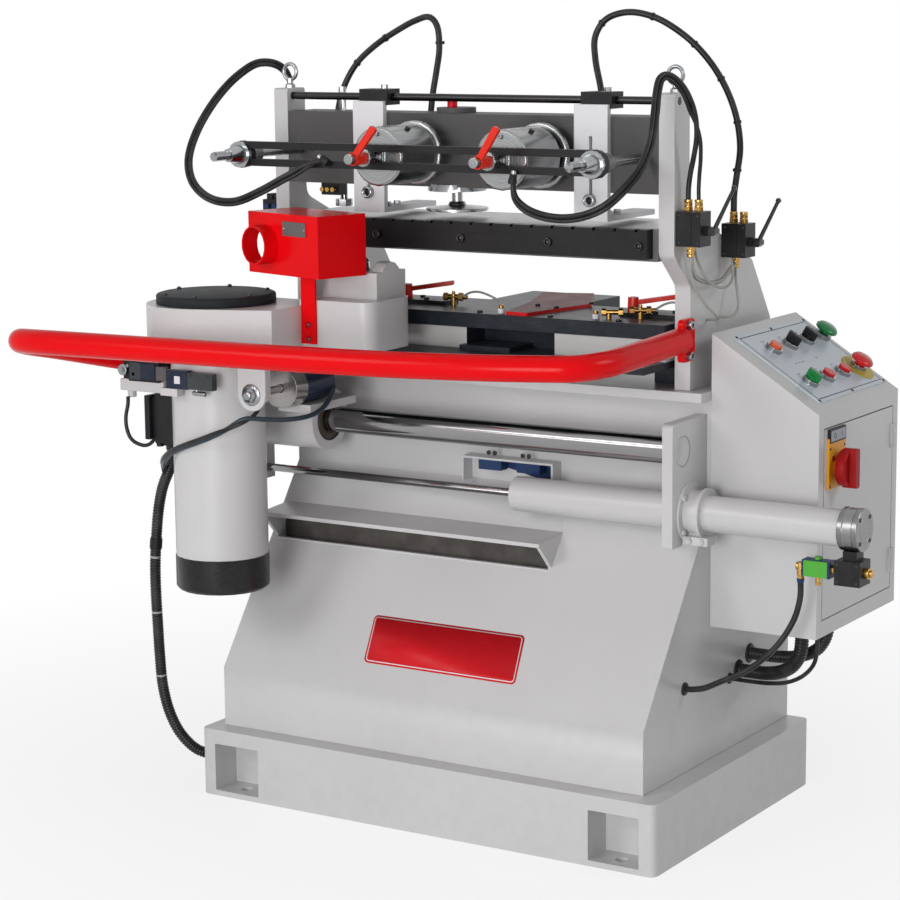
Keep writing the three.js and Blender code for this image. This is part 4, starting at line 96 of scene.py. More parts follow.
class MachineSizes(bpy.types.PropertyGroup):
    edge_round: bpy.props.FloatProperty(
        name="Edge rounding", description="Width of the rounded edges on castings and sheet metal",
        default=0.0012, min=0.0, soft_max=0.004, unit="LENGTH")
    orange_peel: bpy.props.FloatProperty(
        name="Enamel texture", description="Size of one ripple in the enamel",
        default=0.0016, min=0.0002, soft_max=0.01, unit="LENGTH")
    camera_distance: bpy.props.FloatProperty(
        name="Camera distance", description="Scale of the camera's distance from the machine",
        default=1.0, min=0.5, soft_max=2.0)


class MachineColours(bpy.types.PropertyGroup):
    enamel: bpy.props.FloatVectorProperty(
        name="Enamel", description="Light enamel on castings, stand and cabinet",
        subtype="COLOR", size=3, default=(0.60, 0.595, 0.60), min=0, max=1)
    guard: bpy.props.FloatVectorProperty(
        name="Guard", description="Red enamel on the guard bar and the dust hood",
        subtype="COLOR", size=3, default=(0.80, 0.003, 0.006), min=0, max=1)
    lever: bpy.props.FloatVectorProperty(
        name="Levers", description="Coating of the ratchet and template levers",
        subtype="COLOR", size=3, default=(0.74, 0.022, 0.008), min=0, max=1)
    floor: bpy.props.FloatVectorProperty(
        name="Floor", description="Studio floor",
        subtype="COLOR", size=3, default=(0.86, 0.86, 0.86), min=0, max=1)


# Shader maths

class Wire:
    """A shader socket that adds Math nodes when it is used in an expression."""

    def __init__(self, finish, socket):
        self.finish, self.socket = finish, socket

    def _join(self, operation, first, second):
        node = self.finish.node("ShaderNodeMath", {"operation": operation}, {0: first, 1: second})
        return node["Value"]

    def __add__(self, other):
        return self._join("ADD", self, other)

    __radd__ = __add__

    def __mul__(self, other):
        return self._join("MULTIPLY", self, other)

    __rmul__ = __mul__

    def __sub__(self, other):
        return self._join("SUBTRACT", self, other)

    def __rsub__(self, other):
        return self._join("SUBTRACT", other, self)

    def clamp(self, low=0.0, high=1.0):
        return self._join("MINIMUM", self._join("MAXIMUM", self, low), high)


class Built:
    """A node already in the tree, whose outputs are read by name or by number."""

    def __init__(self, finish, node):
        self.finish, self.made = finish, node

    def __getitem__(self, output):
        return Wire(self.finish, self.made.outputs[output])


class Finish:
    """One procedural material and its node tree."""

    def __init__(self, name):
        self.material = bpy.data.materials.new(name)
        self.material.use_nodes = True
        self.tree = self.material.node_tree
        self.tree.nodes.clear()

    def node(self, kind, settings=None, sockets=None):
        made = self.tree.nodes.new(kind)
        for key, value in (settings or {}).items():
            if key == "stops":
                ramp = made.color_ramp.elements
                while len(ramp) > 1:
                    ramp.remove(ramp[-1])
                ramp[0].position, ramp[0].color = value[0]
                for position, colour in value[1:]:
                    ramp.new(position).color = colour
            else:
                setattr(made, key, value)
        for key, value in (sockets or {}).items():
            if isinstance(value, Wire):
                self.tree.links.new(value.socket, made.inputs[key])
            else:
                made.inputs[key].default_value = value
        return Built(self, made)

    def place(self):
        return self.node("ShaderNodeTexCoord")["Object"]

    def stretched(self, scale):
        return self.node("ShaderNodeVectorMath", {"operation": "MULTIPLY"},
                         {0: self.place(), 1: scale})["Vector"]

    def noise(self, scale, detail, vector=None):
        return self.node("ShaderNodeTexNoise", {"noise_dimensions": "3D"}, {
            "Vector": vector or self.place(), "Scale": scale, "Detail": detail, "Roughness": 0.55})["Fac"]

    def ramp(self, factor, low, high):
        """0 below low, 1 above high."""
        return self.node("ShaderNodeMapRange", {"clamp": True}, {
            "Value": factor, "From Min": low, "From Max": high, "To Min": 0.0, "To Max": 1.0})["Result"]

    def blend(self, factor, first, second):
        return self.node("ShaderNodeMix", {"data_type": "RGBA"}, {
            "Factor": factor, 6: first, 7: second})[2]

    def bump(self, height, depth, strength, under=None):
        sockets = {"Height": height, "Distance": depth, "Strength": strength}
        if under is not None:
            sockets["Normal"] = under
        return self.node("ShaderNodeBump", None, sockets)["Normal"]

    def edges(self, width):
        """1 along convex and concave edges of that width, 0 on open faces."""
        soft = self.node("ShaderNodeBevel", {"samples": 4}, {"Radius": width})["Normal"]
        true = self.node("ShaderNodeNewGeometry")["Normal"]
        dot = self.node("ShaderNodeVectorMath", {"operation": "DOT_PRODUCT"}, {0: soft, 1: true})["Value"]
        return self.ramp(dot, 0.985, 0.93)

    def height(self):
        return self.node("ShaderNodeSeparateXYZ", None, {"Vector": self.place()})["Z"]

    def surface(self, **sockets):
        named = {key.replace("_", " "): value for key, value in sockets.items()}
        shader = self.node("ShaderNodeBsdfPrincipled", None, named)
        self.close(shader["BSDF"])
        return self

    def close(self, shader):
        self.node("ShaderNodeOutputMaterial", None, {"Surface": shader})


class Backdrop(Finish):
    """The world's node tree, built with the same calls."""

    def __init__(self, world):
        world.use_nodes = True
        self.tree = world.node_tree
        self.tree.nodes.clear()


def shade(colour, factor):
    return tuple(min(1.0, c * factor) for c in colour[:3]) + (1.0,)


def solid(colour):
    return tuple(colour[:3]) + (1.0,)


# Finishes

def enamel(name, colour, roughness=0.34, worn=(0.33, 0.31, 0.29), grime=0.10, peel=1.0, coat=0.1,
           gloss=0.35, edge=0.55):
    """Sprayed enamel: fine ripple, faint clouding, rubbed edges and dust near the floor."""
    sizes = bpy.context.scene.machine_sizes
    f = Finish(name)
    cloud = f.ramp(f.noise(3.2, 4.0), 0.3, 0.7)
    fine = f.noise(38.0, 5.0)
    tone = f.blend(cloud, shade(colour, 0.965), shade(colour, 1.02))
    dust = f.ramp(f.height(), 0.42, 0.0) * f.ramp(fine, 0.35, 0.75) * grime
    tone = f.blend(dust.clamp(), tone, (0.24, 0.21, 0.17, 1))
    specks = f.ramp(f.noise(420.0, 2.0), 0.735, 0.77) * 0.35
    tone = f.blend(specks, tone, shade(colour, 0.62))
    if edge:
        rub = (f.edges(0.0022) * f.ramp(f.noise(55.0, 5.0), 0.50, 0.66) * edge).clamp()
        tone = f.blend(rub, tone, solid(worn))
    ripple = f.noise(1.0 / sizes.orange_peel, 2.0)
    relief = f.bump(ripple, 0.00006 * peel, 0.55)
    relief = f.bump(f.noise(26.0, 3.0), 0.0004 * peel, 0.22, relief)
    return f.surface(Base_Color=tone, Roughness=(roughness + fine * 0.12 - 0.05), Coat_Weight=coat,
                     Coat_Roughness=0.18, Specular_IOR_Level=gloss, Normal=relief)


def metal(name, colour, roughness, grain, streak=0.16, stains=0.1):
    """Bare or plated metal with its working marks along one axis."""
    f = Finish(name)
    lines = f.noise(1.0, 3.0, f.stretched(grain))
    patch = f.ramp(f.noise(24.0, 5.0), 0.42, 0.75)
    tone = f.blend(lines, shade(colour, 1.0 - streak), shade(colour, 1.0 + streak * 0.5))
    tone = f.blend(patch * stains, tone, shade(colour, 0.45))
    return f.surface(Base_Color=tone, Metallic=1.0, Normal=f.bump(lines, 0.00002, 0.6),
                     Roughness=(lines * 0.16 + patch * 0.10 + roughness - 0.1).clamp(0.04, 1))


def turned(name, colour, axis, centre):
    """Metal faced on a lathe: rings round axis 0, 1 or 2 through a point in millimetres."""
    f = Finish(name)
    offset = f.node("ShaderNodeVectorMath", {"operation": "SUBTRACT"}, {
        0: f.place(), 1: tuple(v * MM for v in centre)})["Vector"]
    flat = tuple(0.0 if i == axis else 1.0 for i in range(3))
    radial = f.node("ShaderNodeVectorMath", {"operation": "MULTIPLY"}, {0: offset, 1: flat})["Vector"]
    radius = f.node("ShaderNodeVectorMath", {"operation": "LENGTH"}, {0: radial})["Value"]
    rings = f.node("ShaderNodeTexNoise", {"noise_dimensions": "1D"}, {
        "W": radius, "Scale": 900.0, "Detail": 4.0})["Fac"]
    tone = f.blend(f.ramp(rings, 0.3, 0.7), shade(colour, 0.72), shade(colour, 1.12))
    patch = f.ramp(f.noise(20.0, 5.0), 0.45, 0.75) * 0.12
    tone = f.blend(patch, tone, shade(colour, 0.4))
    return f.surface(Base_Color=tone, Metallic=1.0, Roughness=(rings * 0.22 + 0.26 - 0.1).clamp(0.05, 1),
                     Normal=f.bump(rings, 0.00004, 0.7))


def moulded(name, colour, roughness, grain=900.0, depth=0.00005, dusty=0.04, coat=0.0, gloss=0.2):
    """Moulded plastic or rubber with a fine skin."""
    f = Finish(name)
    skin = f.noise(grain, 2.0)
    haze = f.ramp(f.noise(30.0, 4.0), 0.4, 0.8)
    tone = f.blend(haze * dusty, solid(colour), solid((0.30, 0.29, 0.27)))
    rub = (f.edges(0.0012) * f.ramp(f.noise(70.0, 3.0), 0.45, 0.7) * 0.22).clamp()
    tone = f.blend(rub, tone, shade([c * 1.5 + 0.06 for c in colour], 1.0))
    return f.surface(Base_Color=tone, Roughness=(haze * 0.1 + roughness - 0.04), Coat_Weight=coat,
                     Coat_Roughness=0.12, Specular_IOR_Level=gloss, Normal=f.bump(skin, depth, 0.5))


def laminate(name, colour, other, scale=60.0, roughness=0.4):
    """Pressed laminate sheet: long fibres, slight mottling and scuffs."""
    f = Finish(name)
    fibre = f.noise(1.0, 4.0, f.stretched((60.0, 460.0, 460.0)))
    mottle = f.noise(scale, 4.0)
    tone = f.blend(f.ramp(fibre * 0.6 + mottle * 0.4, 0.4, 0.62), solid(colour), solid(other))
    scuff = f.ramp(f.noise(1.0, 2.0, f.stretched((900.0, 30.0, 60.0))), 0.70, 0.78) * 0.25
    tone = f.blend(scuff, tone, shade([c * 1.4 + 0.05 for c in colour], 1.0))
    return f.surface(Base_Color=tone, Roughness=(mottle * 0.14 + roughness - 0.07), Specular_IOR_Level=0.2,
                     Normal=f.bump(fibre, 0.00004, 0.5))


def knurled(name, colour):
    """Steel with crossed knurling."""
    f = Finish(name)
    place = f.node("ShaderNodeSeparateXYZ", None, {"Vector": f.place()})
    waves = []
    for sign in (1, -1):
        run = (place["Y"] + (place["X"] + place["Z"]) * sign) * 1560.0
        waves.append(f.node("ShaderNodeMath", {"operation": "SINE"}, {0: run})["Value"])
    cross = waves[0] * waves[1]
    tone = f.blend(f.ramp(cross, -0.6, 0.6), shade(colour, 0.55), shade(colour, 1.2))
    return f.surface(Base_Color=tone, Metallic=0.9, Roughness=0.4, Normal=f.bump(cross, 0.0003, 0.8))


def make_finishes():
    """Every finish by its short name."""
    colours = bpy.context.scene.machine_colours
    light, red, lever = list(colours.enamel), list(colours.guard), list(colours.lever)
    clean = {"grime": 0.0, "coat": 0.0}
    across, lengthways, upright = (12.0, 900.0, 900.0), (900.0, 12.0, 900.0), (700.0, 700.0, 12.0)
    return {
        "enamel": enamel("Light enamel", light),
        "red": enamel("Red enamel", red, 0.24, worn=(0.40, 0.01, 0.01), grime=0.0, peel=0.5, coat=0.03,
                      gloss=0.06),
        "red_tube": enamel("Red tube enamel", red, 0.22, grime=0.0, peel=0.4, coat=0.04, gloss=0.08, edge=0),
        "dark": enamel("Dark grey enamel", [0.095, 0.093, 0.092], 0.5, (0.22, 0.22, 0.22), gloss=0.15,
                       **clean),
        "grey": enamel("Mid grey enamel", [0.15, 0.15, 0.155], 0.45, (0.34, 0.34, 0.34), gloss=0.2, **clean),
        "white": enamel("White plate", [0.80, 0.80, 0.82], 0.4, gloss=0.2, edge=0.2, **clean),
        "white_worn": enamel("White packer", [0.62, 0.62, 0.61], 0.5, **clean),
        "legend": enamel("Legend plate", [0.56, 0.62, 0.68], 0.3, (0.4, 0.45, 0.5), grime=0.0, peel=0.3),
        "barrel": enamel("Blue cylinder barrel", [0.010, 0.016, 0.045], 0.3, (0.2, 0.2, 0.24), grime=0.0),
        "machined": metal("Machined table", [0.30, 0.30, 0.31], 0.36, (14.0, 900.0, 900.0)),
        "rod_dark": metal("Dark rod", [0.045, 0.043, 0.043], 0.28, (9.0, 700.0, 700.0), stains=0.2),
        "black_steel": metal("Blackened steel", [0.030, 0.029, 0.030], 0.42, (9.0, 500.0, 500.0), stains=0.3),
        "zinc": metal("Zinc plate", [0.31, 0.32, 0.335], 0.26, (500.0, 12.0, 500.0)),
        "bright": metal("Bright steel", [0.36, 0.37, 0.38], 0.17, (600.0, 10.0, 600.0)),
        "chrome_x": metal("Ground rod", [0.30, 0.295, 0.30], 0.13, across, 0.12, 0.05),
        "chrome_y": metal("Ground slide rod", [0.42, 0.42, 0.44], 0.13, lengthways, 0.12, 0.05),
        "chrome_z": metal("Ground spindle", [0.40, 0.40, 0.41], 0.15, upright, 0.12),
        "brass": metal("Brass", [0.50, 0.30, 0.09], 0.24, (400.0, 400.0, 12.0)),
        "screw": metal("Black screw", [0.06, 0.06, 0.065], 0.36, (400.0, 400.0, 400.0)),
        "lever_steel": metal("Lever rod", [0.055, 0.055, 0.058], 0.24, (300.0, 300.0, 20.0)),
        "knurl": knurled("Knurled collar", [0.20, 0.20, 0.21]),
        "black": moulded("Black moulding", [0.012, 0.012, 0.014], 0.4),
        "black_gloss": moulded("Black cap", [0.012, 0.012, 0.014], 0.30, 500.0, coat=0.04),
        "rubber": moulded("Hose rubber", [0.014, 0.014, 0.016], 0.34, 1200.0, dusty=0.12),
        "belt": moulded("Belt rubber", [0.02, 0.02, 0.02], 0.7, 700.0),
        "lever": moulded("Lever coating", lever, 0.28, 600.0, 0.00008, coat=0.12),
        "knob_red": moulded("Dark red knob", [0.36, 0.008, 0.010], 0.4, gloss=0.1),
        "yellow": moulded("Yellow plate", [0.80, 0.36, 0.01], 0.36),
        "yellow_disc": moulded("Yellow disc", [0.54, 0.40, 0.02], 0.36),
        "grey_label": moulded("Switch label", [0.36, 0.38, 0.42], 0.4),
        "cap_green": moulded("Green cap", [0.008, 0.20, 0.045], 0.25, coat=0.15),
        "cap_red": moulded("Red cap", [0.66, 0.010, 0.012], 0.25, coat=0.15),
        "cap_orange": moulded("Orange lens", [0.72, 0.10, 0.03], 0.2, coat=0.2),
        "anodised": moulded("Green valve block", [0.09, 0.42, 0.05], 0.4, 300.0),
        "tube_clear": moulded("Thin air line", [0.36, 0.36, 0.33], 0.25, coat=0.1),
        # painted shade: the dark colour of the inside of the chip shelf's slot
        "chute": moulded("Oiled chute", [0.075, 0.066, 0.062], 0.5, 60.0, 0.0004, dusty=0.2),
        # painted shade: the dark colour of a recessed bore
        "recess": moulded("Painted recess shade", [0.07, 0.055, 0.045], 0.7, 200.0, 0.0004, dusty=0.3),
        "plate_grey": moulded("Blank plate", [0.12, 0.11, 0.11], 0.4),
        "blue": moulded("Blue sensor", [0.015, 0.04, 0.12], 0.35),
        "wedge_dull": moulded("Tinted wedge", [0.15, 0.035, 0.04], 0.4, gloss=0.04),
        "lid": moulded("Charcoal lid", [0.018, 0.021, 0.024], 0.6, 500.0, gloss=0.1),
        "switch_body": moulded("Switch housing", [0.05, 0.058, 0.06], 0.4),
        "navy": moulded("Dark blue housing", [0.016, 0.022, 0.045], 0.4),
        "cable_blue": moulded("Slate cable", [0.030, 0.045, 0.060], 0.34, 1200.0),
        "fine_line": moulded("Printed line", [0.02, 0.03, 0.05], 0.5),
        "dark_plate": laminate("Template laminate", [0.016, 0.020, 0.028], [0.030, 0.036, 0.046], 40.0, 0.38),
        "label_red": laminate("Red label", [0.62, 0.008, 0.014], [0.66, 0.010, 0.018]),
        "face_left": turned("Turned left clamp", [0.33, 0.335, 0.34], 1, CLAMPS["left"]),
        "face_right": turned("Turned right clamp", [0.33, 0.335, 0.34], 1, CLAMPS["right"]),
        "face_hold": turned("Turned foot", [0.36, 0.36, 0.37], 2, HOLD_DOWN),
        "face_cross": turned("Turned cross cylinder cap", [0.38, 0.36, 0.35], 1, CROSS),
        "face_end": turned("Turned end cap", [0.24, 0.24, 0.245], 0, FEED),
    }


F = {}


# Piece builders

def circle(radius, count, start=0.0):
    """Points evenly round the origin, the first at start in degrees."""
    turns = [math.radians(start) + 2 * math.pi * i / count for i in range(count)]
    return [(radius * math.cos(a), radius * math.sin(a)) for a in turns]


def along(axis):
    """Turns local Z to the named axis."""
    return {"x": Matrix.Rotation(math.pi / 2, 4, "Y"), "-x": Matrix.Rotation(-math.pi / 2, 4, "Y"),
            "y": Matrix.Rotation(-math.pi / 2, 4, "X"), "-y": Matrix.Rotation(math.pi / 2, 4, "X"),
            "z": Matrix.Identity(4), "-z": Matrix.Rotation(math.pi, 4, "X")}[axis]


def spin(degrees, axis="Z"):
    return Matrix.Rotation(math.radians(degrees), 4, axis)


class Shape:
    """Closed bodies in millimetres, gathered into one piece with one or more finishes."""

    def __init__(self, finish):
        self.bm = bmesh.new()
        self.finishes = []
        self.matrix = Matrix.Identity(4)
        self.wear(finish)

    def wear(self, finish):
        if finish not in self.finishes:
            self.finishes.append(finish)
        self.index = self.finishes.index(finish)
        return self

    def at(self, x=0, y=0, z=0, turn="z"):
        """Moves the local origin. turn is a matrix or the axis that local Z is turned to."""
        self.matrix = Matrix.Translation((x, y, z)) @ (along(turn) if isinstance(turn, str) else turn)
        return self

    def _add(self, points, faces):
        verts = [self.bm.verts.new(self.matrix @ Vector(p)) for p in points]
        for face in faces:
            made = self.bm.faces.new([verts[i] for i in face])
            made.material_index = self.index
            made.smooth = True
        return self

    def slab(self, low, high):
        return self.prism([(low[0], low[1]), (high[0], low[1]), (high[0], high[1]), (low[0], high[1])],
                          low[2], high[2])

    def prism(self, outline, low, high):
        """An outline in the local XY plane, drawn anticlockwise, from low to high in Z."""
        n = len(outline)
        points = [(x, y, low) for x, y in outline] + [(x, y, high) for x, y in outline]
        faces = [list(range(n))[::-1], list(range(n, 2 * n))]
        faces += [[i, (i + 1) % n, n + (i + 1) % n, n + i] for i in range(n)]
        return self._add(points, faces)

    def lathe(self, profile, sides=40):
        """Radius and height pairs, from the lower end up, round local Z. Radius 0 closes an end."""
        points, faces, rows = [], [], []
        for radius, height in profile:
            if radius <= 0:
                rows.append([len(points)])
                points.append((0, 0, height))
            else:
                rows.append(list(range(len(points), len(points) + sides)))
                points += [(x, y, height) for x, y in circle(radius, sides)]
        for a, b in zip(rows, rows[1:]):
            for i in range(sides):
                j = (i + 1) % sides
                if len(a) == 1:
                    faces.append([a[0], b[j], b[i]])
                elif len(b) == 1:
                    faces.append([a[i], a[j], b[0]])
                else:
                    faces.append([a[i], a[j], b[j], b[i]])
        return self._add(points, faces)

    def rod(self, radius, low, high, sides=28, tip=None, chamfer=0.0):
        """A round bar from low to high, with chamfered rims where given. tip is its end's radius."""
        end = radius if tip is None else tip
        profile = [(0, low), (radius - chamfer, low), (radius, low + chamfer), (end, high - chamfer),
                   (end - chamfer, high), (0, high)]
        if not chamfer:
            profile = [(0, low), (radius, low), (end, high), (0, high)]
        return self.lathe(profile, sides)

    def sleeve(self, outer, inner, low, high, sides=40):
        """A ring with a through hole."""
        points, faces = [], []
        for radius, height in ((outer, low), (outer, high), (inner, high), (inner, low)):
            points += [(x, y, height) for x, y in circle(radius, sides)]
        for row in range(4):
            following = (row + 1) % 4
            for i in range(sides):
                j = (i + 1) % sides
                faces.append([row * sides + i, row * sides + j, following * sides + j, following * sides + i])
        return self._add(points, faces)

    def hexagon(self, across, low, high):
        """A nut's prism, measured across its flats."""
        return self.prism(circle(across / math.sqrt(3), 6), low, high)

    def socket_screw(self, radius, height):
        """A cap screw whose head stands on local Z 0, with its hexagon recess."""
        recess, floor = radius * 0.52, height * 0.45
        return self.lathe([(0, 0), (radius, 0), (radius, height * 0.86), (radius * 0.9, height),
                           (recess, height), (recess, floor), (0, floor)], 18)

    def button_screw(self, radius, height):
        """A domed screw whose driver recess is a shallow cone."""
        dome = ((0, 0), (1, 0), (0.92, 0.5), (0.62, 0.9), (0.36, 1), (0.28, 0.7), (0, 0.45))
        return self.lathe([(radius * out, height * up) for out, up in dome], 18)

    def pipe(self, path, radii, sides):
        """A round bar along points, with one radius for each of them."""
        rows, verts, faces = [], [], []
        normal = (path[1] - path[0]).orthogonal().normalized()
        for i, (point, radius) in enumerate(zip(path, radii)):
            ahead = (path[min(i + 1, len(path) - 1)] - path[max(i - 1, 0)]).normalized()
            normal = (normal - ahead * normal.dot(ahead)).normalized()
            side = ahead.cross(normal)
            rows.append(range(len(verts), len(verts) + sides))
            verts += [point + normal * x + side * y for x, y in circle(radius, sides)]
        for a, b in zip(rows, rows[1:]):
            for k in range(sides):
                j = (k + 1) % sides
                faces.append([a[k], a[j], b[j], b[k]])
        faces.append(list(rows[0])[::-1])
        faces.append(list(rows[-1]))
        return self._add(verts, faces)

    def torus(self, ring, bar, sides, bars):
        """A ring of round bar, lying in the local XY plane."""
        points, faces = [], []
        for x, y in circle(1.0, sides):
            points += [((ring + out) * x, (ring + out) * y, up) for out, up in circle(bar, bars)]
        for i in range(sides):
            near, far = i * bars, (i + 1) % sides * bars
            faces += [[near + k, far + k, far + (k + 1) % bars, near + (k + 1) % bars] for k in range(bars)]
        return self._add(points, faces)

    def piece(self, name, body, slot, replaces=(), soft=0.5, steps=2, ride=True):
        """Ends the shape: an object on that body, its edges rounded by soft millimetres."""
        bmesh.ops.recalc_face_normals(self.bm, faces=self.bm.faces[:])
        mesh = bpy.data.meshes.new(name)
        self.bm.to_mesh(mesh)
        self.bm.free()
        mesh.transform(Matrix.Scale(MM, 4))
        for finish in self.finishes:
            mesh.materials.append(F[finish].material)
        made = bpy.data.objects.new(name, mesh)
        bpy.context.scene.collection.objects.link(made)
        if soft:
            round_edges(made, soft * MM, steps)
            even_shade(made)
        if ride:
            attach(made, body)
        if replaces:
            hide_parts(*replaces)
        return made


def round_edges(thing, width, steps=2, angle=38):
    bevel = thing.modifiers.new("Rounded edges", "BEVEL")
    bevel.width = width
    bevel.segments = steps
    bevel.limit_method = "ANGLE"
    bevel.angle_limit = math.radians(angle)
    bevel.use_clamp_overlap = True
    bevel.miter_outer = "MITER_ARC"


def even_shade(thing):
    """Keeps broad faces flat in the light where they meet a rounded edge."""
    weighted = thing.modifiers.new("Even shading", "WEIGHTED_NORMAL")
    weighted.mode = "FACE_AREA"
    weighted.weight = 80
    weighted.keep_sharp = True


def dress(node, *finishes, soft=None, where=None, angle=38):
    """Gives a CAD node its finishes, welded and rounded edges. where picks a finish for a face
    from its middle and normal, in millimetres."""
    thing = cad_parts[node]
    mesh = thing.data
    mesh.materials.clear()
    for finish in finishes:
        mesh.materials.append(F[finish].material)
    for face in mesh.polygons:
        face.use_smooth = True
        face.material_index = where(face.center / MM, face.normal) if where else 0
    weld = thing.modifiers.new("Weld", "WELD")
    weld.merge_threshold = 0.00001
    usual = bpy.context.scene.machine_sizes.edge_round
    round_edges(thing, usual if soft is None else soft * MM, 2, angle)
    even_shade(thing)


def smooth_route(points, gap=7.0):
    """A centripetal Catmull-Rom line through the points, in parts about that long."""
    path = [Vector(p) for p in points]
    ends = [path[0] * 2 - path[1]] + path + [path[-1] * 2 - path[-2]]
    line = []
    for a, b, c, d in zip(ends, ends[1:], ends[2:], ends[3:]):
        t1 = (b - a).length ** 0.5
        t2 = t1 + (c - b).length ** 0.5
        t3 = t2 + (d - c).length ** 0.5
        parts = max(1, round((c - b).length / gap))
        for i in range(parts):
            t = t1 + (t2 - t1) * i / parts
            ab = a * ((t1 - t) / t1) + b * (t / t1)
            bc = b * ((t2 - t) / (t2 - t1)) + c * ((t - t1) / (t2 - t1))
            cd = c * ((t3 - t) / (t3 - t2)) + d * ((t - t2) / (t3 - t2))
            abc = ab * ((t2 - t) / t2) + bc * (t / t2)
            bcd = bc * ((t3 - t) / (t3 - t1)) + cd * ((t - t1) / (t3 - t1))
            line.append(abc * ((t2 - t) / (t2 - t1)) + bcd * ((t - t1) / (t2 - t1)))
    line.append(path[-1])
    return line


def rounded(width, height, corner, lean=0.0):
    """A rounded rectangle round the origin. lean shifts its lower side to the right."""
    steps = 5
    outline = []
    for x, y, start in ((1, 1, 0), (-1, 1, 90), (-1, -1, 180), (1, -1, 270)):
        for step in range(steps + 1):
            angle = math.radians(start + 90 * step / steps)
            py = y * (height / 2 - corner) + corner * math.sin(angle)
            outline.append((x * (width / 2 - corner) + corner * math.cos(angle) - lean * py / height, py))
    return outline


def length_of(line):
    return sum((b - a).length for a, b in zip(line, line[1:]))


def part_of(line, start, end):
    """The stretch of a line between two lengths from its start."""
    walked, kept = 0.0, []
    for a, b in zip(line, line[1:]):
        step = (b - a).length
        for t in (start, end):
            if walked < t < walked + step:
                kept.append((t, a.lerp(b, (t - walked) / step)))
        if start <= walked <= end:
            kept.append((walked, a))
        walked += step
    if end >= walked:
        kept.append((walked, line[-1]))
    kept.sort(key=lambda pair: pair[0])
    return [p for _, p in kept]


def even(line, gap):
    """The same line with its points evenly spaced."""
    total = length_of(line)
    parts = max(2, round(total / gap))
    marks = [total * i / parts for i in range(parts + 1)]
    placed, walked, k = [], 0.0, 0
    for a, b in zip(line, line[1:]):
        step = (b - a).length
        while k < len(marks) and marks[k] <= walked + step + 1e-6:
            placed.append(a.lerp(b, min(1.0, (marks[k] - walked) / step)))
            k += 1
        walked += step
    return placed


# Hoses and cables: routes in millimetres

HOSE = 5.5
FRONT_HOSE = 4.3
CONDUIT = 10.0
CABINET_CONDUIT = 12.0
CABINET_SECOND = 11.0
CABINET_CABLE = 3.6
FEED_HOSE = 5.0
RIB_PITCH = 5.2
RIB_DEPTH = 1.1

CONDUIT_ROUTE = [
    (-492.6, -297, 614.7), (-493.6, -297, 600), (-503, -297, 578), (-518, -297, 548), (-530, -296, 506),
    (-538, -295, 452), (-543, -294, 402), (-544, -293, 350), (-543, -292, 300), (-542, -290, 240),
    (-540, -286, 180), (-533, -276, 128), (-520, -262, 88), (-502, -244, 60), (-486, -230, 50),
    (-470, -224, 46), (-450.4, -224, 46)]
HOSE_LEFT_ROUTE = [
    (-408.8, -43, 1216), (-409.4, -44, 1240), (-422, -58, 1266), (-444, -84, 1272), (-464, -118, 1252),
    (-482, -160, 1212), (-490, -208, 1156), (-478, -246, 1112), (-446, -276, 1078), (-396, -296, 1056),
    (-340, -306, 1054), (-290, -304, 1072), (-244, -294, 1096), (-208, -283, 1114), (-176, -277.8, 1123)]
HOSE_RIGHT_ROUTE = [
    (186, -277.8, 1104), (187, -279, 1090), (194, -283, 1074), (217, -288, 1059), (250, -294, 1050),
    (287, -296, 1047.5), (322, -294, 1053), (353, -286, 1067), (378, -270, 1093), (393, -250, 1120),
    (397, -232, 1145), (396, -214, 1170), (389, -190, 1209), (383, -172, 1238), (381, -156, 1258),
    (386, -142, 1264), (395, -130, 1258), (404, -118, 1244), (411, -104, 1220), (414, -94, 1194),
    (412, -86, 1162), (404, -80, 1131), (396, -77, 1100), (393.5, -77, 1078), (393.5, -77, 1060.3)]
HOSE_REAR_LEFT_ROUTE = [
    (-330, -12.2, 1150), (-330, -11, 1188), (-322, -2, 1232), (-300, 6, 1272), (-262, 10, 1304),
    (-220, 12, 1328), (-180, 12, 1346), (-150, 10, 1352), (-134, 8, 1338), (-128, 6, 1300), (-130, -1, 1260),
    (-134, -7, 1222), (-136, -11.4, 1184), (-136, -12.2, 1150)]
HOSE_REAR_RIGHT_ROUTE = [
    (206, -12.2, 1150), (204, -11, 1190), (192, -2, 1236), (178, 6, 1280), (174, 12, 1318), (190, 18, 1346),
    (226, 26, 1358), (270, 38, 1350), (316, 52, 1322), (352, 64, 1286), (380, 74, 1242), (400, 80, 1190),
    (406, 85, 1136), (399, 88, 1092), (394, 89, 1060), (393.5, 89, 1044), (393.5, 89, 1028.3)]
FEED_HOSE_ROUTE = [
    (598.3, -78, 462.6), (598.3, -78, 434), (591, -81, 400), (576, -88, 368), (557, -94, 342),
    (532, -100, 318), (506, -106, 300), (474, -110, 284), (446, -113, 270), (424, -114, 265),
    (410.4, -114, 264)]
CABINET_CONDUIT_ROUTE = [
    (540, 60, 349.6), (540, 60, 326), (536, 62, 300), (520, 68, 276), (494, 76, 260), (464, 84, 252),
    (436, 88, 250), (410.4, 88, 250)]
CABINET_SECOND_ROUTE = [
    (562, 116, 351), (560, 117, 326), (544, 119, 298), (512, 123, 280), (474, 128, 272), (440, 131, 270),
    (409.5, 132, 270)]
CABINET_CABLE_ROUTE = [
    (588, 12, 351), (589, 12, 326), (583, 14, 300), (562, 20, 276), (530, 30, 258), (492, 42, 248),
    (450, 50, 244), (409.5, 54, 243)]
CROSS_LINE_ROUTE = [
    (-238, -172, 727), (-233, -186, 716), (-226, -216, 701), (-223, -258, 691), (-232, -310, 690),
    (-252, -352, 694), (-276, -378, 697), (-310, -386, 677), (-340, -389, 662), (-371, -388, 650),
    (-405, -382, 638), (-443, -368, 622), (-470, -350, 606), (-490, -328, 593), (-501, -313, 585),
    (-508, -301, 576)]
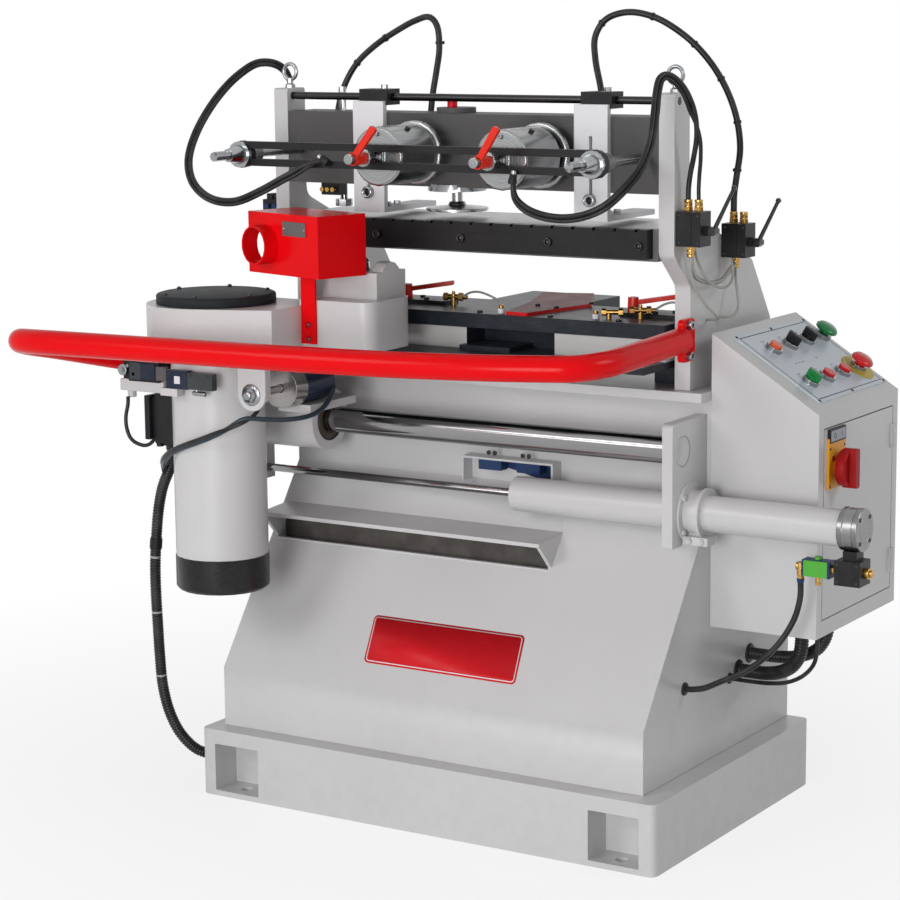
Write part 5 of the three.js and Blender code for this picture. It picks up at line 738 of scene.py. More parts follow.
CROSS_SECOND_ROUTE = [
    (-262, -352, 716), (-266, -366, 702), (-278, -382, 691), (-296, -392, 682), (-326, -396, 671),
    (-360, -395, 658), (-396, -390, 645), (-434, -378, 630), (-464, -360, 614), (-486, -338, 600),
    (-501, -318, 590), (-510, -302, 568)]
LIMIT_SWITCH_ROUTE = [
    (-577, -313, 704), (-577, -314, 690), (-580, -317, 670), (-578, -318, 648), (-570, -317, 630),
    (-556, -313, 621), (-540, -309, 620), (-526, -306, 632), (-519, -304, 646)]
AIR_LINE_ROUTES = {
    "front": [(397.9, -77, 973), (398, -76, 948), (403, -66, 916), (410, -46, 890), (414, -20, 872),
              (408, 2, 862), (394, 14, 858), (379, 18, 857)],
    "rear": [(397.9, 89, 941), (398.5, 88, 920), (404, 84, 896), (410, 76, 876), (408, 66, 862),
             (394, 60, 858), (379, 58, 857)],
    "link": [(393, -58, 990), (398, -52, 962), (404, -30, 930), (408, 4, 914), (408, 40, 912),
             (404, 66, 926), (397, 74, 958)]}
TEMPLATE_LINE_ROUTES = {
    "left": [(-88, 8, 871), (-70, 4, 880), (-44, -8, 884), (-12, -22, 880), (12, -36, 874), (22, -44, 866)],
    "right": [(292, 6, 871), (306, 16, 880), (322, 22, 882), (334, 16, 872), (340, 6, 862)]}

# the stretch, in metres, where a hose between two bodies would bend; hose() only reads whether one is given,
# and then leaves that hose on no body
CONDUIT_UPPER_SPAN = ((-0.5, -0.297, 0.60), (-0.513, -0.297, 0.46))
CONDUIT_LOWER_SPAN = ((-0.52, -0.29, 0.42), (-0.53, -0.29, 0.12))
HOSE_LEFT_SPAN = ((-0.44, -0.28, 1.1), (-0.2, -0.28, 1.1))
HOSE_RIGHT_SPAN = ((0.345, -0.28, 1.1), (0.2, -0.28, 1.1))
CROSS_LINE_SPAN = ((-0.225, -0.19, 0.7), (-0.225, -0.34, 0.7))
LIMIT_SWITCH_SPAN = ((-0.577, -0.3, 0.69), (-0.54, -0.3, 0.625))

CONDUIT_SPLIT = 180.0
CONDUIT_BANDS = (0.05, 0.27, 0.52)
SECOND_HOSE = 3.3
SECOND_GAP = 7.2
SECOND_RIGHT_START = (412, -77, 1060.3)
PICTURE_DEPTH = Vector((-0.524, 0.834, -0.173))


def hose(name, line, radius, bodies=("frame",), span=None, finish="rubber", ribs=False, bands=(),
         replaces=()):
    """A hose, cable or ribbed conduit along a line. bands paints pale rings
    at those shares of it."""
    sides, steps_per_rib = 14, 4
    path = even(line, RIB_PITCH / steps_per_rib if ribs else 6.0)
    radii = [radius - (RIB_DEPTH if ribs and i % steps_per_rib > 1 else 0.0) for i in range(len(path))]
    shape = Shape(finish).pipe(path, radii, sides)
    if bands:
        shape.wear("tube_clear")
        shape.bm.faces.ensure_lookup_table()
    for share in bands:
        first = int(share * (len(path) - 1)) * sides
        for face in shape.bm.faces[first:first + 3 * sides]:
            face.material_index = shape.index
    made = shape.piece(name, bodies[0], "rubber", replaces, soft=0, ride=span is None)
    if span:
        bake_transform(made)
    placed = even(line, 9.0)
    tuple(line[0] * MM)
    length_of(placed) * MM
    2 * radius * MM
    [tuple(point * MM) for point in placed]


def beside(line, gap, start=None):
    """The line that runs beside another in the picture's plane. start replaces its first point."""
    near_end, near_start, led = 60.0, 50.0, 150.0
    total, walked, moved = length_of(line), 0.0, []
    for i, point in enumerate(line):
        heading = line[min(i + 1, len(line) - 1)] - line[max(i - 1, 0)]
        side = heading.cross(PICTURE_DEPTH).normalized()
        walked += (point - line[i - 1]).length if i else 0.0
        share = min(1.0, (total - walked) / near_end)
        if not start:
            share = min(share, walked / near_start)
        share = share * share * (3 - 2 * share)
        shifted = point + side * gap * share
        if start and walked < led:
            t = (walked / led) ** 2
            shifted = (point + Vector(start) - line[0]) * (1 - t) + shifted * t
        moved.append(shifted)
    return moved


def ties(name, line, shares, radius):
    """Cable ties round a line, at shares of its length, each a band with its lock."""
    shape = Shape("black")
    path = even(line, 4.0)
    for share in shares:
        i = int(share * (len(path) - 2))
        heading = (path[i + 1] - path[i]).normalized()
        shape.at(*path[i], heading.to_track_quat("Z", "Y").to_matrix().to_4x4())
        shape.sleeve(radius + 1.3, radius - 0.2, -2.2, 2.2, 20)
        shape.slab((radius + 0.6, -2.6, -2.6), (radius + 3.6, 2.6, 2.6))
    shape.piece(name, "frame", "black_plastic", soft=0.3)


class MachineHoses(bpy.types.Operator):
    """Makes the air hoses, the motor conduit and the cables"""
    bl_idname = "machine.hoses"
    bl_label = "Hoses and cables"

    def execute(self, context):
        route = smooth_route(CONDUIT_ROUTE)
        hose("motor_conduit_upper", part_of(route, 0, CONDUIT_SPLIT), CONDUIT, ("head", "carriage"),
             CONDUIT_UPPER_SPAN, ribs=True, replaces=["motor_conduit"])
        hose("motor_conduit_lower", part_of(route, CONDUIT_SPLIT, length_of(route)), CONDUIT,
             ("carriage", "frame"), CONDUIT_LOWER_SPAN, ribs=True, bands=CONDUIT_BANDS,
             replaces=["motor_conduit"])
        joint = even(part_of(route, CONDUIT_SPLIT - 9, CONDUIT_SPLIT + 9), 4.0)
        shape = Shape("black").pipe(joint, [CONDUIT + 1.2] * len(joint), 20)
        shape.piece("motor_conduit_coupler", "carriage", "black_plastic", soft=0.6)

        left, right = smooth_route(HOSE_LEFT_ROUTE), smooth_route(HOSE_RIGHT_ROUTE)[::-1]
        second_left = beside(left, -SECOND_GAP)
        second_right = beside(smooth_route(HOSE_RIGHT_ROUTE[::-1]), SECOND_GAP, SECOND_RIGHT_START)
        for name, line, radius, span, replaces in (
                ("hose_left_line", left, FRONT_HOSE, HOSE_LEFT_SPAN, ["hose_left"]),
                ("hose_right_line", right, FRONT_HOSE, HOSE_RIGHT_SPAN, ["hose_right"]),
                ("hose_left_second", second_left, SECOND_HOSE, HOSE_LEFT_SPAN, ()),
                ("hose_right_second", second_right, SECOND_HOSE, HOSE_RIGHT_SPAN, ())):
            hose(name, line, radius, ("frame", "clamp_rail"), span, replaces=replaces)

        for side, points, tied in (
                ("left", HOSE_REAR_LEFT_ROUTE, (0.12, 0.26, 0.40, 0.70)),
                ("right", HOSE_REAR_RIGHT_ROUTE, (0.30, 0.44, 0.56, 0.67, 0.78, 0.9))):
            route = smooth_route(points)
            hose("hose_rear_" + side + "_line", route, HOSE, replaces=["hose_rear_" + side])
            ties("hose_ties_rear_" + side, route, tied, HOSE)
        hose("feed_hose_line", smooth_route(FEED_HOSE_ROUTE), FEED_HOSE, replaces=["feed_hose"])
        hose("cabinet_conduit_line", smooth_route(CABINET_CONDUIT_ROUTE), CABINET_CONDUIT, ribs=True,
             replaces=["cabinet_conduit"])
        hose("cabinet_conduit_second", smooth_route(CABINET_SECOND_ROUTE), CABINET_SECOND, ribs=True)
        hose("cabinet_cable", smooth_route(CABINET_CABLE_ROUTE), CABINET_CABLE)
        hose("cross_cylinder_line", smooth_route(CROSS_LINE_ROUTE), 4.2, ("carriage", "head"),
             CROSS_LINE_SPAN, "cable_blue")
        hose("cross_cylinder_second", smooth_route(CROSS_SECOND_ROUTE), 3.4, ("head",))
        hose("limit_switch_line", smooth_route(LIMIT_SWITCH_ROUTE), 3.4, ("carriage", "head"),
             LIMIT_SWITCH_SPAN)
        for name, points in AIR_LINE_ROUTES.items():
            hose("air_line_" + name, smooth_route(points), 2.2, finish="tube_clear")
        return {"FINISHED"}


# The camera's turn, height and roll in degrees, and its place in metres
CAMERA_TURNS = (32.141949, 9.955892, -0.579628)
CAMERA_PLACE = Vector((2.28127, -3.80724, 1.38948))
CAMERA_REACH = 4.6
CAMERA_LENS = 103.769

# Each lamp's name, place, aim, size in metres and power in watts
LAMPS = (
    ("Key", (-1.8, -4.3, 2.7), (0.0, 0.0, 0.7), 2.0, 54),
    ("Side", (3.4, 0.9, 2.6), (0.5, 0.1, 0.7), 1.4, 27),
    ("Front", (1.0, -5.0, 1.0), (0.1, 0.0, 0.7), 2.0, 114))


class MachineStage(bpy.types.Operator):
    """Makes the camera, the floor and the studio light"""
    bl_idname = "machine.stage"
    bl_label = "Camera, floor and light"

    def add_camera(self, scene):
        azimuth, elevation, roll = (math.radians(v) for v in CAMERA_TURNS)
        ahead = Vector((-math.sin(azimuth) * math.cos(elevation), math.cos(azimuth) * math.cos(elevation),
                        -math.sin(elevation)))
        right = ahead.cross(Vector((0, 0, 1))).normalized()
        up = right.cross(ahead)
        across = right * math.cos(roll) + up * math.sin(roll)
        above = up * math.cos(roll) - right * math.sin(roll)
        camera = bpy.data.objects.new("Camera", bpy.data.cameras.new("Camera"))
        camera.data.lens = CAMERA_LENS
        camera.data.sensor_width = 36.0
        camera.data.clip_end = 60.0
        camera.matrix_world = Matrix((across, above, -ahead)).transposed().to_4x4()
        camera.location = CAMERA_PLACE - ahead * CAMERA_REACH * (scene.machine_sizes.camera_distance - 1.0)
        scene.collection.objects.link(camera)
        scene.camera = camera

    def white_ray(self, f):
        """1 for the rays that see the white studio: camera, glossy and transmission."""
        seen = f.node("ShaderNodeLightPath")
        return (seen["Is Camera Ray"] + seen["Is Glossy Ray"] + seen["Is Transmission Ray"]).clamp()

    def add_floor(self, scene):
        """A floor that fades into white and keeps a soft shadow."""
        near, far, fade, base = 0.55, 1.9, 0.2, 0.8
        built = bmesh.new()
        bmesh.ops.create_grid(built, x_segments=2, y_segments=2, size=30.0)
        mesh = bpy.data.meshes.new("Studio_floor")
        built.to_mesh(mesh)
        built.free()
        floor = bpy.data.objects.new("Studio_floor", mesh)
        scene.collection.objects.link(floor)
        f = Finish("Studio floor")
        out = f.node("ShaderNodeVectorMath", {"operation": "LENGTH"}, {0: f.place()})["Value"]
        share = f.ramp(out, near, far) * fade + base
        plain = f.node("ShaderNodeBsdfDiffuse", None, {"Color": solid(scene.machine_colours.floor)})["BSDF"]
        white = f.node("ShaderNodeEmission", None, {"Color": (1, 1, 1, 1), "Strength": 1.0})["Emission"]
        mix = f.node("ShaderNodeMixShader", None, {0: self.white_ray(f) * share, 1: plain, 2: white})
        f.close(mix["Shader"])
        mesh.materials.append(f.material)

    def add_world(self, scene):
        fill = 0.24
        scene.world = bpy.data.worlds.new("Studio")
        f = Backdrop(scene.world)
        back = f.node("ShaderNodeBackground", None, {
            "Color": (1, 1, 1, 1), "Strength": self.white_ray(f) * (1 - fill) + fill})
        f.node("ShaderNodeOutputWorld", None, {"Surface": back["Background"]})

    def execute(self, context):
        self.add_camera(context.scene)
        self.add_floor(context.scene)
        self.add_world(context.scene)
        for name, place, aim, size, watts in LAMPS:
            lamp = bpy.data.lights.new(name, "AREA")
            lamp.shape, lamp.size, lamp.energy = "DISK", size, watts
            thing = bpy.data.objects.new(name, lamp)
            thing.location = place
            thing.rotation_euler = (Vector(aim) - Vector(place)).to_track_quat("-Z", "Y").to_euler()
            context.scene.collection.objects.link(thing)
        return {"FINISHED"}


class MachineCastings(bpy.types.Operator):
    """Finishes the plinth, the stand, the posts and the parts that never move"""
    bl_idname = "machine.castings"
    bl_label = "Plinth, stand and posts"

    def execute(self, context):
        dress("plinth", "enamel", soft=8.0, angle=50)

        def on_stand(c, n):
            """The two sensors in the hanger."""
            return int(-45 < c.y < -16 and 579 < c.z < 600 and (-28 < c.x < 21 or 49 < c.x < 98))
        dress("stand_body", "enamel", "blue", where=on_stand, soft=1.6)
        for side in SIDES:
            dress("post_" + side, "enamel", "zinc", where=lambda c, n: int(c.z > 1232), soft=1.8)
        dress("work_table", "grey", "machined", where=lambda c, n: int(n.z > 0.9 and c.z > 1014), soft=0.6)
        dress("comb_bar", "black_steel", "screw", where=lambda c, n: int(c.y < -124.4), soft=0.5)
        dress("top_rod", "rod_dark", soft=0.4)
        dress("shaft_bracket", "enamel", soft=2.0)
        dress("guide_shaft", "enamel", "chrome_x", soft=0.8,
              where=lambda c, n: int(math.hypot(c.y - SHAFT.y, c.z - SHAFT.z) < 23.6))

        # dark plate that paints the shade inside the chip shelf's slot, and the slot's pale lower edge
        left, right = -409.6, 147.6
        shape = Shape("chute").slab((left, -83, 424), (right, -79, 487))
        shape.wear("enamel").slab((left, -109.5, 429.5), (right, -106, 434.5))
        shape.piece("chip_slot_shade", "frame", "paint", soft=0.6)

        shape = Shape("enamel").at(extent("guide_shaft")[1].x, SHAFT.y, SHAFT.z, "x")
        shape.lathe([(0, -2), (24, -2), (24, 1.6), (22.6, 2.4), (20, 1.2), (14, 1.2), (13, 0.6), (0, 0.6)],
                    48)
        shape.piece("shaft_end_cover", "frame", "paint", soft=0)

        # round lifting rings over the posts' eyes
        shape = Shape("zinc")
        for side in SIDES:
            shape.at(middle("post_" + side).x, -70.5, 1259.5, "y").torus(13.5, 3.4, 44, 16)
        shape.piece("lifting_rings", "frame", "zinc", soft=0)

        # small valve block on the left post's outer face
        shape = Shape("black").slab((-446, -82, 1010), (-405.2, -52, 1036))
        shape.slab((-440, -78, 1036), (-428, -58, 1046)).slab((-424, -78, 1036), (-412, -58, 1043))
        shape.wear("blue")
        for x in (-434, -418):
            shape.at(x, -82, 1024, "-y").rod(5, 0, 7, 18, chamfer=0.6)
        shape.piece("post_valve", "frame", "black_plastic", soft=0.6)

        # grommets where the hoses and cables enter the stand, and the conduit the plinth
        shape = Shape("black")
        for (_, y, z), radius in (
                (FEED_HOSE_ROUTE[-1], FEED_HOSE), (CABINET_CONDUIT_ROUTE[-1], CABINET_CONDUIT),
                (CABINET_SECOND_ROUTE[-1], CABINET_SECOND), (CABINET_CABLE_ROUTE[-1], CABINET_CABLE)):
            rim = radius + 6
            shape.at(STAND_RIGHT, y, z, "x")
            shape.lathe([(0, -1), (rim, -1), (rim, 1.5), (rim - 1.6, 3.4), (0, 3.4)], 32)
        x, y, z = CONDUIT_ROUTE[-1]
        shape.at(x + 1.9, y, z, "-x").lathe([(0, 0), (15, 0), (15, 4), (13.6, 6), (0, 6)], 32)
        shape.piece("grommets", "frame", "rubber", soft=0)

        # blank red plate on the sloped front, with its thin pale border
        width, height, corner = 301, 88, 8
        slope = Matrix.Rotation(math.atan2(335, 241), 4, "X")
        shape = Shape("label_red").at(0.5, -204.6, 299.2, slope)
        for finish, less, low, high in (("label_red", 0, -0.4, 0.8), ("white", 6, 0.4, 1.1),
                                        ("label_red", 9.5, 0.6, 1.4)):
            shape.wear(finish).prism(rounded(width - less, height - less, corner - less / 3, 9), low, high)
        shape.piece("front_plate", "frame", "guard_red", soft=0)

        # socket screws of the comb bar
        low, high = extent("comb_bar")
        shape = Shape("lever_steel")
        for i in range(5):
            x = low.x + (high.x - low.x) * (0.02 + 0.24 * i)
            shape.wear("lever_steel").at(x, low.y + 0.4, 988.6, "-y").sleeve(7.0, 4.4, 0, 1.6, 24)
            shape.wear("screw").rod(4.6, 0, 0.8, 20)
        shape.piece("comb_screws", "frame", "zinc", soft=0)

        shape = Shape("screw")
        for x in (-6, 6, 62, 74):
            shape.at(x, -40, 611, "-y").socket_screw(4, 3)
        shape.piece("hanger_screws", "frame", "dark_steel", soft=0)
        return {"FINISHED"}


GUARD_ROUTE = [
    (384, -80, 834), (384, -170, 831), (384, -262, 828), (380, -330, 826), (354, -380, 824),
    (296, -404, 823), (200, -431, 822), (60, -457, 821), (-120, -477, 821), (-320, -490, 821),
    (-500, -500, 821), (-618, -502, 820), (-664, -488, 817), (-678, -452, 808), (-664, -404, 797),
    (-628, -322, 776), (-560, -168, 736), (-506, -40, 703), (-470, 50, 679), (-452, 100, 668),
    (-446, 122, 664)]
GUARD_RADIUS = 21


class MachineGuard(bpy.types.Operator):
    """Makes the red guard bar with its end flanges"""
    bl_idname = "machine.guard"
    bl_label = "Guard bar"

    def execute(self, context):
        route = smooth_route(GUARD_ROUTE, 9.0)
        shape = Shape("red_tube").pipe(route, [GUARD_RADIUS] * len(route), 40)
        y, z = -65, 833
        shape.at(380.3, y, z, "x").prism(rounded(70, 46, 9), 0, 9)
        flange_y, flange_z = GUARD_ROUTE[-1][1:]
        shape.at(-434.3, flange_y, flange_z, "x")
        shape.lathe([(0, 0), (36.8, 0), (37.8, 1), (37.8, 8), (36.8, 9), (0, 9)], 48)
        shape.wear("zinc")
        for up in (-25, 25):
            shape.at(389, y, z + up, "x").socket_screw(7.5, 8.5)
        for out, up in circle(29.5, 4, 45):
            shape.at(-434.1, flange_y + out, flange_z + up, "-x").socket_screw(4.5, 4)
        shape.piece("guard_tube", "frame", "guard_red", ["guard_bar"], soft=0.8)
        return {"FINISHED"}


class MachineClamps(bpy.types.Operator):
    """Finishes the clamp beam, the rail, the cylinders, the pads and the levers"""
    bl_idname = "machine.clamps"
    bl_label = "Board clamps"

    def execute(self, context):
        dress("clamp_beam", "dark", "zinc", soft=1.4, where=lambda c, n: int(
            c.y < -98.2 or c.z < 1069.8 or (c.z > 1193.2 and c.x < -270)))

        def on_stop(c, n):
            """Black clamp block, bare bolts, white arm."""
            if c.z > 1232.6 or c.y < -109.4 or (1033.2 < c.z < 1046 and c.y > -98):
                return 2
            return int(c.z > 1205 and c.y > -101.9)

        def on_rail(c, n):
            """Bright bosses and knurled collars at the rail's two ends."""
            if min(abs(c.x + 350), abs(c.x - 327)) < 24:
                return 1 if c.y < -272.2 else 2 * int(c.y > -259.8)
            return 0
        dress("hold_down_foot", "face_hold", soft=0.5)
        dress("clamp_rail", "black_steel", "bright", "knurl", where=on_rail, soft=0.5)
        for side, bolt_x in (("left", -200.5), ("right", 232.5)):
            dress("stop_" + side, "white", "black", "zinc", where=on_stop, soft=0.8)
            dress("clamp_cylinder_" + side, "face_" + side, soft=0.7)
            dress("clamp_pad_" + side, "face_" + side, soft=0.6)
            dress("ratchet_lever_" + side, "lever", soft=1.2)

            # cap screw over the bolt that holds the fence; the black hexagon on its recess floor paints the
            # shade of the hex socket
            shape = Shape("bright").at(bolt_x, extent("stop_left")[0].y, 1058, "-y")
            shape.lathe([(0, -4), (10.5, -4), (10.5, 3.4), (9.3, 4.6), (6.6, 4.6), (5.8, 0.8), (0, 0.8)], 30)
            shape.wear("black").lathe([(0, 0.4), (5.7, 0.4), (5.7, 1.3), (0, 1.3)], 6)
            shape.piece("stop_screw_" + side, "stop_" + side, "zinc", soft=0)

            # three screws in the clamp's front face and two plugs in its barrel
            x, _, z = CLAMPS[side]
            shape = Shape("zinc")
            for out, up in circle(37, 3, 90):
                shape.at(x + out, -255, z + up, "-y").socket_screw(4, 4)
            shape.wear("black")
            for turn in (-30, 30):
                shape.at(x, -200, z, spin(turn, "Y")).rod(4.5, 47.5, 53.0, 16, chamfer=0.5)
            shape.piece("clamp_cylinder_fittings_" + side, "cylinder_" + side, "zinc", soft=0.3)

        # fittings behind the beam and on the left post, where the air lines end
        shape = Shape("brass")
        for x, y, z in (HOSE_REAR_LEFT_ROUTE[0], HOSE_REAR_LEFT_ROUTE[-1], HOSE_REAR_RIGHT_ROUTE[0]):
            shape.wear("brass").at(x, y, z - 22).rod(6.5, 0, 10, 20, chamfer=0.8).hexagon(12, 10, 17)
            shape.wear("black").rod(7.5, 17, 26, 20, tip=6.2, chamfer=0.6)
            shape.slab((-9, -6, -10), (9, 6.5, 0.5))
        shape.piece("beam_fittings", "frame", "black_plastic", soft=0.4)
        x, y, z = HOSE_LEFT_ROUTE[0]
        shape = Shape("brass").at(x, y, z - 20).rod(6.5, 0, 12, 20, chamfer=0.8).hexagon(12, 12, 19)
        shape.wear("black").rod(7.2, 19, 28, 20, tip=6.2, chamfer=0.6)
        shape.piece("post_fitting", "frame", "zinc", soft=0.4)

        # elbows on the rail, where the front hoses end
        shape = Shape("zinc")
        for place, turn in ((HOSE_LEFT_ROUTE[-1], -60), (HOSE_RIGHT_ROUTE[0], 10)):
            shape.wear("zinc").at(*place, spin(turn, "Y")).rod(5.0, 6, 12, 18)
            shape.wear("black").hexagon(12, -2, 6).rod(7.0, -10, -1.5, 20, chamfer=0.6)
        shape.piece("rail_fittings", "clamp_rail", "black_plastic", soft=0.4)

        # red relief cap on top of the hold-down cylinder
        shape = Shape("label_red").at(-59, -64, 1202)
        shape.lathe([(0, 0), (8.6, 0), (8.6, 10.4), (7.8, 12), (0, 12)], 24)
        shape.wear("black").lathe([(0, 11), (3.6, 11), (3.6, 14), (5, 15), (5, 18), (3.4, 20), (0, 20)], 20)
        shape.piece("relief_cap", "frame", "guard_red", soft=0.3)

        # black distributor under the left end of the beam, with three brass outlets
        x, y, z = -300, -70, 1042
        shape = Shape("black").at(x, y, z).slab((-19, -12, 6), (19, 12, 27.6)).wear("brass")
        for out in (-11, 0, 11):
            shape.at(x + out, y - 12, z + 16, "-y").rod(4.2, 0, 7, 16, chamfer=0.5).hexagon(8, 7, 11)
        shape.piece("air_distributor", "frame", "black_plastic", soft=0.7)
        return {"FINISHED"}


class MachineHead(bpy.types.Operator):
    """Finishes the carriage, the motor, the belt case, the spindle and the hood"""
    bl_idname = "machine.head"
    bl_label = "Carriage and head"

    def dress_nodes(self):
        dress("carriage", "enamel", soft=2.0)
        dress("guide_roller", "black_steel", soft=0.5)
        dress("cross_cylinder", "barrel", "face_cross", where=lambda c, n: int(c.y < -262), soft=0.6)

        def on_head(c, n):
            """The two slide rods and the cross cylinder's rod."""
            return int(any(math.hypot(c.x - x, c.z - z) < 12 and c.y > reach for x, z, reach in (
                (-452, 760, -300), (-362, 760, -300), (CROSS.x, CROSS.z, -341))))
        dress("head_casting", "enamel", "chrome_y", where=on_head, soft=1.8)

        def on_motor(c, n):
            """Black fan cap below, black terminal box on the left."""
            return 1 if c.z < 443.5 else 2 * int(c.x < -471.3 and c.z < 715)
        dress("motor_case", "enamel", "black_gloss", "black", where=on_motor, soft=1.6)
        dress("motor_rotor", "black_steel")
        dress("spindle", "chrome_z", soft=0.3)
        dress("drive_belt", "belt", soft=0.2)
        dress("limit_switch", "enamel", "black", where=lambda c, n: int(c.z > 736.1), soft=1.0)
        dress("dust_hood", "red", soft=0.8)

    def make_cross_rod_end(self):
        """The lug on the belt case, and the nut and washer of the cross cylinder's rod."""
        x, z, half, top = -267, CROSS.z, 28, 800
        foot = [(out, z + up) for out, up in circle(half, 30)][16:30]
        lug = [(-half, top), (-half, z)] + foot + [(half, z), (half, top)]
        shape = Shape("enamel").at(x, -365.0, 0, "-y").prism(lug, 0, 6)
        shape.piece("cross_rod_lug", "head", "paint", soft=1.6, steps=3)
        shape = Shape("zinc").at(x, -370.8, z, "-y")
        shape.lathe([(0, 0), (18.5, 0), (18.5, 1.6), (17.6, 2.4), (0, 2.4)], 36)
        shape.hexagon(23, 2.2, 9.4).lathe([(0, 9.2), (7.4, 9.2), (7.4, 12.6), (6.6, 13.4), (0, 13.4)], 20)
        shape.piece("cross_rod_nut", "head", "zinc", soft=0)

    def make_switches(self):
        """The limit switch's faces, and the second switch on its arm in front of the motor."""
        shape = Shape("zinc").at(-572, -329, 754, "-y")
        shape.lathe([(0, -2), (10, -2), (10, 4), (9, 5), (4, 5), (4, 8), (0, 8)], 28)
        shape.at(-560, -330, 762, "-y").rod(3, -2, 4, 16).at(-548, -330, 748, "-y").rod(3.4, -2, 3, 16)
        shape.wear("switch_body").at().slab((-556, -333, 739), (-532, -324, 768))
        shape.wear("navy").slab((-531, -334, 741), (-500, -324, 767))
        shape.wear("plate_grey").slab((-499.4, -332, 740), (-477, -324, 764)).wear("screw")
        for x in (-552, -502.5, -479):
            shape.at(x, -333, 764.5, "-y").button_screw(1.8, 1.2)
        shape.piece("limit_switch_faces", "carriage", "black_plastic", soft=0.3)

        shape = Shape("enamel").at(-478, -328, 0, Matrix.Rotation(math.atan2(-66, 52), 4, "Z"))
        shape.slab((-3, -6, 728), (84, 6, 741)).at().slab((-436, -400, 728), (-400, -384, 741))
        shape.wear("navy").slab((-424, -399, 741), (-380, -384, 772))
        shape.wear("switch_body").slab((-380, -398, 742), (-328, -384, 770))
        shape.wear("white").slab((-406, -400, 750), (-394, -398.6, 763)).wear("screw")
        for x in (-418, -386, -372, -336):
            shape.at(x, -398.6, 766, "-y").button_screw(2.0, 1.4)
        shape.wear("zinc").at(-372, -392, 735, "x").rod(4, 0, 26, 18, chamfer=0.6)
        shape.at(-364, -392, 738).rod(3, 0, 6, 14)
        shape.piece("front_switch", "carriage", "black_plastic", soft=0.5)

    def make_motor_trim(self):
        """The belt case's lid, the terminal box's lid and glands, and the fan cap's screw."""
        shape = Shape("lid").at(MOTOR.x, MOTOR.y, extent("belt_cover")[0].z)
        shape.lathe([(0, 0), (101, 0), (102, 1), (102, 13), (100.4, 15.6), (96, 17), (0, 17)], 96)
        shape.wear("screw")
        for turn in (-76, -14, 50, 112, 172, 235):
            out, back = circle(90, 1, turn)[0]
            shape.at(MOTOR.x + out, MOTOR.y + back, 895.0).button_screw(4.2, 4)
        shape.piece("belt_lid", "head", "black_plastic", ["belt_cover"], soft=0)

        x, y, z = CONDUIT_ROUTE[0]
        shape = Shape("black").at(x, y, z + 16.3, "-z").hexagon(30, -2, 8)
        shape.rod(12.6, 8, 19, 24, tip=11.4, chamfer=0.8)
        shape.at().slab((-531, -326, 634), (-520.4, -268, 711))
        shape.at(-514, -306, 632, "-z").hexagon(16, -2, 6).rod(6.6, 6, 12, 20, chamfer=0.8)
        shape.wear("screw")
        for z in (704, 646):
            for y in (-320, -274):
                shape.at(-530.8, y, z, "-x").button_screw(2.6, 1.2)
        shape.piece("terminal_fittings", "head", "black_plastic", soft=0.4)

        shape = Shape("brass").at(MOTOR.x, MOTOR.y, 424, spin(28) @ along("-y")).button_screw(4.2, 84)
        shape.piece("cap_screw", "head", "black_plastic", soft=0.2)

    def make_hood_trim(self):
        """The blank plate on the hood and the screws of its strap."""
        face = Matrix.Translation((-159, -324, 0)) @ spin(-17)
        shape = Shape("plate_grey").at(0, 0, 0, face).slab((-93, -2.2, 997), (-31, 0.4, 1021)).wear("zinc")
        for x in (-89.5, -34.5):
            shape.at(0, 0, 0, face @ Matrix.Translation((x, -2.0, 1009)) @ along("-y")).button_screw(1.8, 1.0)
        shape.piece("hood_plate", "head", "dark_steel", soft=0.3)
        shape = Shape("screw")
        for z in (821.7, 846):
            shape.at(-218, -272.2, z, "-y").button_screw(5.5, 3.5)
        shape.piece("strap_screws", "head", "dark_steel", soft=0.2)

    def execute(self, context):
        self.dress_nodes()
        # a flat dark ring paints the shade in the recessed bore of the carriage's sleeve round the guide
        # shaft, inside a thin black rim
        shape = Shape("recess").at(-294.0, SHAFT.y, SHAFT.z, "x").sleeve(37, 22.9, -0.5, 0.5, 48)
        shape.wear("screw").sleeve(38.4, 36.8, -0.5, 1.4, 48)
        shape.piece("sleeve_rim_and_bore_shade", "carriage", "dark_steel", soft=0)
        self.make_cross_rod_end()
        self.make_switches()
        self.make_motor_trim()
        self.make_hood_trim()
        return {"FINISHED"}


